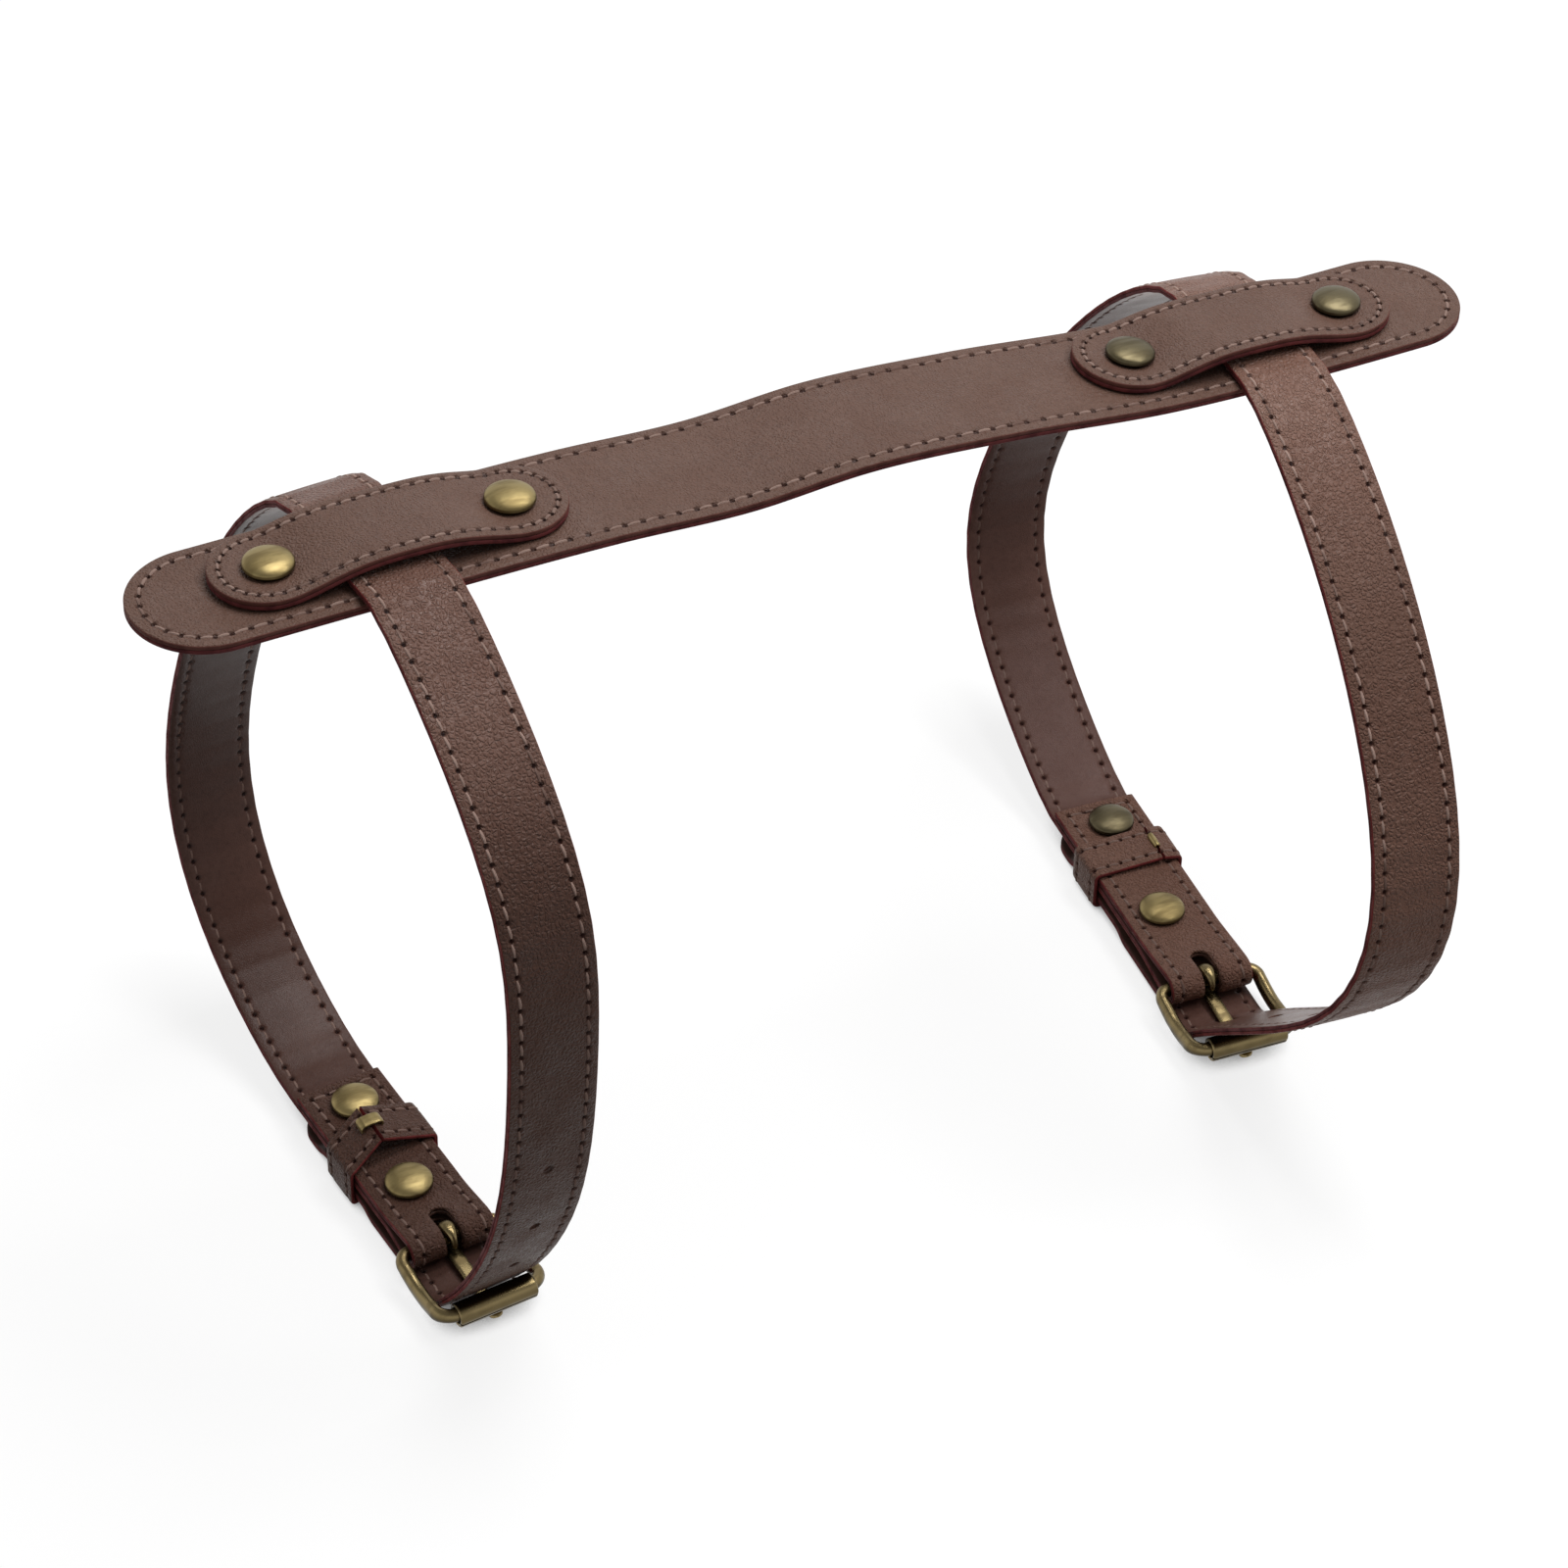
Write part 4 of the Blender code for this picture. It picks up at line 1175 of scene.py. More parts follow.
@dataclass(frozen=True)
class Sizes:
    """All sizes, with the ones that follow from them."""

    room: Clearances = Clearances()
    handle: HandleSizes = HandleSizes()
    band: BandSizes = BandSizes()
    strap: StrapSizes = StrapSizes()
    rivet: RivetSizes = RivetSizes()
    keeper: KeeperSizes = KeeperSizes()
    buckle: BuckleSizes = BuckleSizes()

    def sewn(self, ply: float) -> float:
        """Thickness of two plies with the glue between them."""
        return 2 * ply + self.room.glue

    @property
    def strap_thickness(self) -> float:
        """Thickness of a strap."""
        return self.sewn(self.strap.ply)

    @property
    def tail_z(self) -> float:
        """Middle height of a tail on the ground."""
        return self.strap_thickness / 2

    @property
    def tail_lift(self) -> float:
        """How far a tail rises over the keeper's lower side."""
        return self.keeper.ply + self.room.seat

    @property
    def main_z(self) -> float:
        """Middle height of a strap over its own tail."""
        lower = self.tail_z + self.tail_lift + self.strap_thickness
        return lower + self.rivet.foot_height + 2 * self.room.seat

    @property
    def flap_z(self) -> float:
        """Middle height of a folded flap."""
        return self.main_z + self.strap_thickness + self.room.seat

    @property
    def fold_radius(self) -> float:
        """Radius of a strap's middle line round the fold bar."""
        return self.buckle.wire / 2 + self.room.seat + self.strap_thickness / 2

    @property
    def roller_pass(self) -> float:
        """Distance of a strap's middle line from the roller's middle."""
        return self.buckle.roller / 2 + self.room.running + self.strap_thickness / 2

    @property
    def frame_half(self) -> float:
        """Half the width of a buckle frame between its wire's middles."""
        return self.strap.width / 2 + self.buckle.play + self.buckle.wire / 2


@dataclass(frozen=True)
class LoopShape:
    """Course of one strap loop, seen along the handle: y to the rear and z up, from the handle's middle."""

    name: str
    side: int
    offset: float
    yaw: float
    lean: float
    bar_y: float
    rear: tuple[float, float]
    rear_pull: tuple[float, float, float, float]
    front: tuple[float, float]
    front_pull: tuple[float, float, float, float]
    arrival: float
    near_rivet: float
    rivet_pitch: float
    near_side: float
    far_side: float
    keeper: float
    joint: float
    crown: float
    skew: float
    sag: float
    staple: tuple[float, float]
    free_holes: int
    shaded_rivets: tuple[str, ...]

    @property
    def far_rivet(self) -> float:
        """Flap's farther rivet from the fold bar."""
        return self.near_rivet + self.rivet_pitch


LOOPS = (
    LoopShape(
        name="left",
        side=-1,
        offset=-4.0 * MM,
        yaw=math.radians(3.5),
        lean=-4.9 * MM,
        bar_y=-32.0 * MM,
        rear=(94.4 * MM, 59.2 * MM),
        rear_pull=(88 * MM, 101 * MM, 113 * MM, 84 * MM),
        front=(-81.1 * MM, 127.9 * MM),
        front_pull=(28 * MM, 67 * MM, 131 * MM, 170 * MM),
        arrival=math.radians(51),
        near_rivet=17.9 * MM,
        rivet_pitch=30.6 * MM,
        near_side=-1.0 * MM,
        far_side=0.3 * MM,
        keeper=17.9 * MM,
        joint=-2.0 * MM,
        crown=4.2 * MM,
        skew=3.0 * MM,
        sag=2.0 * MM,
        staple=(6.0 * MM, 3.6 * MM),
        free_holes=3,
        shaded_rivets=(),
    ),
    LoopShape(
        name="right",
        side=1,
        offset=4.4 * MM,
        yaw=math.radians(-5.9),
        lean=-14.9 * MM,
        bar_y=-36.6 * MM,
        rear=(104.5 * MM, 50.0 * MM),
        rear_pull=(34 * MM, 60 * MM, 148 * MM, 72 * MM),
        front=(-118.3 * MM, 84.6 * MM),
        front_pull=(59 * MM, 116 * MM, 87 * MM, 116 * MM),
        arrival=math.radians(44),
        near_rivet=24.5 * MM,
        rivet_pitch=35.9 * MM,
        near_side=-1.2 * MM,
        far_side=1.0 * MM,
        keeper=23.0 * MM,
        joint=7.0 * MM,
        crown=0.8 * MM,
        skew=0.0,
        sag=0.0,
        staple=(1.8 * MM, 5.0 * MM),
        free_holes=2,
        shaded_rivets=("inner", "outer", "far"),
    ),
)


# Handle and bands


class Sewn:
    """Leather of two plies with thread through both."""

    def shell(self, face: Face) -> Shell:
        """One ply."""
        raise NotImplementedError

    def thread(self, face: Face) -> Shell:
        """Stitches that show on one face."""
        raise NotImplementedError

    def build_plies(
        self,
        name: str,
        body: str,
        plies: tuple[tuple[str, Slot, list[Material]], ...],
        thread: Material,
        punches: tuple[Shell, ...] = (),
    ) -> None:
        """Make both plies and their thread.

        Args:
            name: Name of the piece.
            body: Body that it moves with.
            plies: Word, slot and materials of the outer ply and of the lining.
            thread: Material of the thread.
            punches: Shapes that are punched out of both plies.
        """
        for face, (word, slot, materials) in zip(Face, plies):
            node = f"{name}_{word}"
            add_piece(f"{node}_leather", self.shell(face), body, materials, (node,), punches)
        stitches = Shell.joined(*(self.thread(face) for face in Face))
        add_piece(f"{name}_thread", stitches, body, [thread])


@dataclass
class SewnPlate(Sewn):
    """Stadium of two sewn plies that lies along X, above the height of its underside."""

    name: str
    length: float
    width: float
    ply: float
    middle: float
    shift: float
    seam: Seam
    rivets: tuple[float, ...]
    origin: Array
    sizes: Sizes
    hole_pit: float = 0.85
    press_reach: float = 3.2 * MM
    wave: float = 0.05 * MM
    wave_lengths: Span = (9 * MM, 6 * MM)
    wave_skew: float = 40.0

    def underside(self, x: Array, y: Array) -> Array:
        """Height of the underside at places along X and across the plate."""
        raise NotImplementedError

    @property
    def radius(self) -> float:
        """Radius of the round ends."""
        return self.width / 2

    @property
    def perimeter(self) -> float:
        """Length of the outline: two straight sides and two half circles."""
        return 2 * (self.length - self.width) + math.pi * self.width

    def outline(self, t: Array) -> tuple[Array, Array]:
        """Points of the outline and the directions inwards.

        The outline runs along the front side, round the right end, back along the rear side and round the
        left end.

        Args:
            t: Distance along the outline.

        Returns:
            Points and directions, each with a last axis of x and y.
        """
        straight = self.length - self.width
        half = straight / 2
        bow = math.pi * self.radius
        t = np.mod(t, self.perimeter)
        right = -QUARTER + (t - straight) / self.radius
        left = QUARTER + (t - 2 * straight - bow) / self.radius
        zones = [t < straight, t < straight + bow, t < 2 * straight + bow]
        angle = np.select(zones, [np.full_like(t, -QUARTER), right, np.full_like(t, QUARTER)], left)
        base = np.select(zones, [t - half, np.full_like(t, half), half - (t - straight - bow)], -half)
        outward = np.stack([np.cos(angle), np.sin(angle)], axis=-1)
        centre = np.stack([base, np.zeros_like(base)], axis=-1)
        return centre + self.radius * outward, -outward

    def place(self, t: Array, inset: Array, out: Array) -> Array:
        """Points in the frame.

        The inset moves a point in from the outline, and the height moves it square to the underside's slope.

        Args:
            t: Distance along the outline.
            inset: Distance in from the outline.
            out: Height above the underside.

        Returns:
            Points, with a last axis of three.
        """
        t, inset, out = np.broadcast_arrays(t, inset, out)
        edge, inward = self.outline(t)
        flat = edge + inset[..., None] * inward
        x = self.middle + flat[..., 0]
        step = 0.2 * MM
        y = flat[..., 1] + self.shift
        slope = (self.underside(x + step, y) - self.underside(x - step, y)) / (2 * step)
        level = 1 / np.sqrt(1 + slope**2)
        local = np.stack([x - out * slope * level, y, self.underside(x, y) + out * level], axis=-1)
        return local + self.origin

    def relief(self, t: Array, inset: Array, turn: Array) -> tuple[Array, Array]:
        """Height of a face above its plain level, and the share of needle hole.

        The seam's relief, a soft fall to the edge, a faint unevenness and the leather pressed down round each
        rivet are added.

        Args:
            t: Distance along the outline.
            inset: Distance in from the outline.
            turn: Distance along the outline to the nearest needle hole, scaled to the seam's line.

        Returns:
            Height and share of hole.
        """
        height, hole = self.seam.relief(turn, inset - self.seam.inset)
        edge, inward = self.outline(t)
        flat = edge + inset[..., None] * inward
        x, y = flat[..., 0], flat[..., 1]
        fall = self.seam.edge_fall(inset)
        long, short = self.wave_lengths
        wave = self.wave * np.sin(x / long + self.wave_skew * y) * np.cos(y / short)
        press = np.zeros_like(fall)
        for rivet in self.rivets:
            away = np.hypot(x - rivet, y + self.shift)
            press = press + self.sizes.rivet.pressed(away, self.press_reach)
        return height + fall + wave * ease(inset / (2 * self.seam.inset)) + press, hole

    def stations(self) -> tuple[Array, float]:
        """Places along the outline, close together at the needle holes, and the true pitch between holes.

        Returns:
            Distances along the outline, and the pitch that divides it evenly.
        """
        count = round(self.perimeter / self.seam.pitch)
        pitch = self.perimeter / count
        return self.seam.stations(count) * (pitch / self.seam.pitch), pitch

    def shell(self, face: Face) -> Shell:
        """Closed ply: the half section carried round the outline, from the glue face to the face's spine.

        Args:
            face: Which of the two plies.

        Returns:
            The shell.
        """
        t, pitch = self.stations()
        ply = PlyEdge(self.ply, self.radius, self.seam.inset)
        spine = (self.radius, 0.0, 2)
        inset, height, paint = (np.append(first, row) for first, row in zip(spine, ply.columns()))
        grid_t, grid_inset = np.broadcast_arrays(t[:, None], inset[None])
        shrink = np.where(self.outline(t)[1][:, 0] == 0, 1.0, 1 - self.seam.inset / self.radius)[:, None]
        lift, hole = self.relief(grid_t, grid_inset, from_nearest(grid_t, pitch) * shrink)
        on_face = ply.face_share(height[None])
        level = height[None] + lift * on_face
        start = self.ply + (self.sizes.room.glue if face is Face.OUTER else 0.0)
        points = self.place(grid_t, grid_inset, start + face.value * level)
        return Shell.grid(points, paint, wrap_u=True, wrap_v=False, pit=self.hole_pit * hole * on_face)

    def thread(self, face: Face) -> Shell:
        """Stitches of one face, carried from seam coordinates onto the outline.

        Args:
            face: Which of the two faces.

        Returns:
            The shell of all stitches.
        """
        _, pitch = self.stations()
        count = round(self.perimeter / pitch)
        along, across, height = self.seam.thread(len(self.name) + face.value, count)
        top = self.sizes.sewn(self.ply) if face is Face.OUTER else 0.0
        return Shell.tubes(self.place(along * pitch, self.seam.inset + across, top + face.value * height))

    def build(self, finishes: Finishes) -> None:
        """Make both plies and their thread on the handle's body."""
        plies = (
            ("top", Slot.HANDLE, [finishes.handle, finishes.edge, finishes.lining]),
            ("lining", Slot.LINING, [finishes.lining, finishes.under_edge, finishes.lining]),
        )
        self.build_plies(self.name, "handle", plies, finishes.plate_thread)


class Handle(SewnPlate):
    """Carry handle."""

    def underside(self, x: Array, y: Array) -> Array:
        """Top face's height less the thickness, the same all across."""
        return self.sizes.handle.height(x) - self.sizes.sewn(self.ply) + 0 * y


class Band(SewnPlate):
    """Band that lies on the handle at its rivets and arches over the strap between them."""

    def underside(self, x: Array, y: Array) -> Array:
        """Handle's height plus an arch: half of one plus the cosine of a power of the place between its feet.

        At the middle the feet are at the rivet caps, which hold the band down. Towards the front and rear
        edges they move out to the rivets' middles, and the arch is higher and rounder at the front.

        Args:
            x: Places along the handle.
            y: Places across it.

        Returns:
            Heights, in the same shape.
        """
        band = self.sizes.band
        foot = band.foot + (band.edge_foot - band.foot) * ease(np.abs(y) / self.radius)
        power = band.fullness - band.front_fullness * ease(-y / self.radius)
        peak = band.arch - band.arch_tilt * y / self.radius
        away = np.clip(np.abs(x - self.middle) / foot, 0.0, 1.0) ** power
        return self.sizes.handle.height(x) + self.sizes.room.seat + peak * (1 + np.cos(math.pi * away)) / 2


@dataclass
class Rivet:
    """Domed cap and the post under it, on top of a stack of leather."""

    name: str
    sizes: RivetSizes
    seat: float
    stack: float
    place: Matrix
    body: str

    def placed(self, shell: Shell) -> Shell:
        """Shell moved from the rivet's own place into the frame.

        Args:
            shell: Shell about Z.

        Returns:
            The moved shell.
        """
        turn = np.array(self.place.to_3x3())
        points = shell.points @ turn.T + np.array(self.place.translation)
        return Shell(points, shell.faces, shell.paint, shell.pit)

    def cap(self) -> Shell:
        """Dome turned from a profile: half an ellipse over a rolled rim that bites into the leather, darkened
        at the rim by painted shade.

        Returns:
            The shell.
        """
        sizes = self.sizes
        rim = sizes.cap / 2
        base = self.seat + sizes.rim
        turn = np.linspace(0.0, QUARTER, 18)
        rise = (sizes.cap_height - sizes.rim) * np.cos(turn) ** sizes.dome_power
        dome = np.stack([rim * np.sin(turn), base + rise], axis=1)
        middle = (rim - sizes.lip_inset, base - sizes.lip_drop)
        lip = arc(middle, sizes.lip, *sizes.lip_arc, 7)
        skirt = np.array([(radius, -sizes.bite) for radius in (rim - sizes.skirt_inset, sizes.stem / 2, 0.0)])
        # Painted shade: the dome darkens towards its rim, and the lip and the skirt under it are dark.
        shade = sizes.dome_dark * stepped(turn[:-1], sizes.dome_dark_span)
        dark = np.concatenate([shade, np.linspace(*sizes.lip_dark, len(lip)), np.ones(len(skirt))])
        return self.placed(turned(np.vstack([dome[:-1], lip, skirt]), 48, dark))

    def post(self) -> Shell:
        """Stem and flat foot turned from a profile.

        Returns:
            The shell.
        """
        sizes = self.sizes
        stem, foot, edge = sizes.stem / 2, sizes.foot / 2, sizes.foot_edge
        floor = -(self.stack + self.seat)
        low = floor - sizes.foot_height
        hollow = low + sizes.foot_hollow
        profile = np.vstack([
            [(0.0, sizes.socket), (stem, sizes.socket), (stem, floor), (foot - sizes.foot_flat, floor)],
            arc((foot - edge, floor - sizes.foot_edge_drop), edge, *sizes.foot_arc, 7),
            [(sizes.foot_rim_share * foot, low), (sizes.hollow_share * foot, hollow), (0.0, hollow)],
        ])
        return self.placed(turned(profile, 32, np.full(len(profile), sizes.post_pit)))

    def build(self, metal: Material) -> None:
        """Make the cap and the post on their body.

        Args:
            metal: Material of both.
        """
        for word, shell in (("cap", self.cap()), ("post", self.post())):
            node = f"{self.name}_{word}"
            add_piece(f"{node}_brass", shell, self.body, [metal], (node,))


# Strap loops


@dataclass
class StrapLine:
    """Course of a strap: its middle line in the loop's plane, and how that plane hangs on the handle."""

    shape: LoopShape
    sizes: Sizes
    origin: Array
    track: Track = field(init=False)
    past_roller: float = field(init=False)

    def __post_init__(self) -> None:
        """Lay the middle line and smooth it."""
        before, after = self.runs()
        coarse = join_runs(before, after)
        self.track = Track(smoothed(coarse, *self.sizes.strap.smoothing))
        self.past_roller = self.track.length * path_length(coarse)[len(before) - 1] / path_length(coarse)[-1]

    @property
    def crossing(self) -> tuple[float, float, float]:
        """X of the strap's middle on the handle, its height there and the handle's slope."""
        handle = self.sizes.handle
        x = self.shape.side * handle.band_spacing / 2 + self.shape.offset
        top = float(handle.height(np.array(x))) + self.sizes.room.passing + self.sizes.strap_thickness / 2
        return x, top, handle.slope(x)

    @property
    def flap_end(self) -> float:
        """Y of the end of the folded flap."""
        return self.shape.bar_y + self.shape.far_rivet + self.sizes.strap.flap_past_rivet

    @property
    def roller(self) -> tuple[float, float]:
        """Middle of the roller bar in the loop's plane."""
        return self.shape.bar_y - self.sizes.buckle.length, self.sizes.buckle.roller_bar_height

    def tail(self, start: float, end: float) -> Array:
        """The tail on the ground, lifted by a smooth step over the keeper's run between the rivets.

        Args:
            start: Y where the bend past the roller ends.
            end: Y of the tip.

        Returns:
            Points of the tail.
        """
        shape, sizes = self.shape, self.sizes
        middle = shape.bar_y + shape.near_rivet + shape.rivet_pitch / 2
        flat = shape.rivet_pitch / 2 - sizes.rivet.cap / 2 - sizes.room.seat
        ramp = np.linspace(0.0, sizes.rivet.cap / 2 - sizes.room.seat, 5)
        tip = end - sizes.strap.tail_tip * (1 - np.sin(np.linspace(0.0, QUARTER, 6)))
        y = np.concatenate([[start], middle - flat - ramp[::-1], middle + flat + ramp, tip])
        lift = 1 - ease((np.abs(y - middle) - flat) / ramp[-1])
        return np.stack([y, sizes.tail_z + sizes.tail_lift * lift], axis=1)

    def runs(self) -> tuple[Array, Array]:
        """Middle line in two runs: from the flap's end to the roller, and from there to the free tip.

        The free runs are cubic curves through the loop's rearmost and frontmost points. The fold is half a
        circle round the buckle's bar.

        Returns:
            Points (y, z) of both runs.
        """
        shape, sizes = self.shape, self.sizes
        spacing = sizes.strap.station
        fold_z, fold = sizes.buckle.fold_bar_height, sizes.fold_radius
        bar = (shape.bar_y, fold_z)
        level = shape.bar_y + shape.near_rivet - sizes.rivet.cap / 2
        spread = sizes.strap.fold_spread * (level - shape.bar_y)
        foot = self.flap_end + sizes.strap.tail_past_flap
        _, top, _ = self.crossing
        edge = sizes.handle.width / 2 + 2 * sizes.room.passing
        foot_pull, below_pull, above_pull, rear_pull = shape.rear_pull
        over_pull, high_pull, low_pull, roller_pull = shape.front_pull
        slope, bend_radius = shape.arrival, sizes.strap.tail_bend
        heading = np.array([math.cos(slope), -math.sin(slope)])
        beside = np.array([math.sin(slope), math.cos(slope)])
        past = np.array(self.roller) + sizes.roller_pass * beside
        bend_height = sizes.tail_z + bend_radius * (1 - math.cos(slope))
        bend = past + heading * (past[1] - bend_height) / math.sin(slope)
        bend_centre = (bend[0] + bend_radius * math.sin(slope), sizes.tail_z + bend_radius)
        rear_run = join_runs(
            hermite((foot, sizes.main_z), (foot_pull, 0), shape.rear, (0, below_pull), spacing),
            hermite(shape.rear, (0, above_pull), (edge, top), (-rear_pull, 0), spacing),
        )
        front_run = join_runs(
            hermite((-edge, top), (-over_pull, 0), shape.front, (0, -high_pull), spacing),
            hermite(shape.front, (0, -low_pull), past, roller_pull * heading, spacing),
        )
        before = join_runs(
            np.array([(self.flap_end, sizes.flap_z), (level, sizes.flap_z)]),
            hermite((level, sizes.flap_z), (-spread, 0), (bar[0], fold_z + fold), (-spread, 0), spacing / 3),
            arc(bar, fold, QUARTER, 3 * QUARTER, 10),
            hermite((bar[0], fold_z - fold), (spread, 0), (level, sizes.main_z), (spread, 0), spacing / 3),
            np.array([(level, sizes.main_z), (foot, sizes.main_z)]),
            relaxed(rear_run, spacing),
            np.array([(edge, top), (-edge, top)]),
            relaxed(front_run, spacing),
        )
        after = join_runs(
            np.array([past, bend]),
            arc(bend_centre, bend_radius, 3 * QUARTER - slope, 3 * QUARTER, 7),
            self.tail(bend_centre[0], foot),
        )
        return before, after

    def hung(self, y: Array, z: Array, across: Array) -> Array:
        """Points in the frame from the loop's plane.

        The plane leans by a smooth step of the height and turns level with the handle at the top, then the
        loop's yaw turns it about Z.

        Args:
            y: Places to the rear.
            z: Heights.
            across: Distances from the strap's middle line.

        Returns:
            Points, with a last axis of three.
        """
        _, top, slope = self.crossing
        rise = ease(z / top)
        leaning = across + self.shape.lean * (1 - rise)
        return self.yawed(np.stack([leaning, y, z + slope * across * rise], axis=-1))

    def yawed(self, local: Array) -> Array:
        """Points turned by the loop's yaw about the crossing and moved into the frame.

        Args:
            local: Points from the crossing, with a last axis of three.

        Returns:
            Points, in the same shape.
        """
        cos, sin = math.cos(self.shape.yaw), math.sin(self.shape.yaw)
        x, y, z = local[..., 0], local[..., 1], local[..., 2]
        points = np.stack([cos * x - sin * y, sin * x + cos * y, z], axis=-1)
        return points + self.origin + np.array([self.crossing[0], 0.0, 0.0])

    def footed(self, local: Array) -> Array:
        """Points of the buckle end, which hangs beside the crossing by the lean, moved into the frame."""
        return self.yawed(local + np.array([self.shape.lean, 0.0, 0.0]))

    def place(self, along: Array, across: Array, out: Array) -> Array:
        """Points in the frame from strap coordinates: the middle line's point plus height along its normal.

        Args:
            along: Distance along the strap from the flap's end.
            across: Distance from the middle line.
            out: Height above the middle line, outwards from the loop.

        Returns:
            Points, with a last axis of three.
        """
        along, across, out = np.broadcast_arrays(along, across, out)
        plane = self.track.off(along, out)
        return self.hung(plane[..., 0], plane[..., 1], across)

    def tongue_path(self) -> Array:
        """Middle line of the tongue: part of a circle round the fold bar, then a cubic to the tip.

        Returns:
            Points (y, z) from the bar's middle.
        """
        buckle, running = self.sizes.buckle, self.sizes.room.running
        eye = buckle.wire / 2 + running + buckle.tongue_eye / 2
        roller_y, roller_z = self.roller
        under = roller_z - buckle.roller / 2 - running - buckle.tongue_thickness / 2 - buckle.fold_bar_height
        reach = self.shape.bar_y - roller_y + buckle.tongue_overhang
        curl = arc((0.0, 0.0), eye, buckle.tongue_curl, -QUARTER, 16)
        pull = (-reach, 0)
        return join_runs(curl, hermite((0, -eye), pull, (-reach, under), pull, self.sizes.strap.station / 2))

    def tongue_crossing(self) -> float:
        """Place past the roller where the strap meets the tongue: the least gap between their middle lines.

        Returns:
            Distance along the strap.
        """
        bar = np.array([self.shape.bar_y, self.sizes.buckle.fold_bar_height])
        tongue = self.tongue_path() + bar
        limit = self.shape.bar_y - self.sizes.fold_radius - self.sizes.strap_thickness
        shaft = tongue[tongue[:, 0] < limit][::-1]
        distance = self.past_roller + np.linspace(0.0, 4 * self.sizes.strap.tail_bend, 400)
        points, _ = self.track.at(distance)
        gap = np.abs(points[:, 1] - np.interp(points[:, 0], shaft[:, 0], shaft[:, 1]))
        return float(distance[int(np.argmin(gap))])


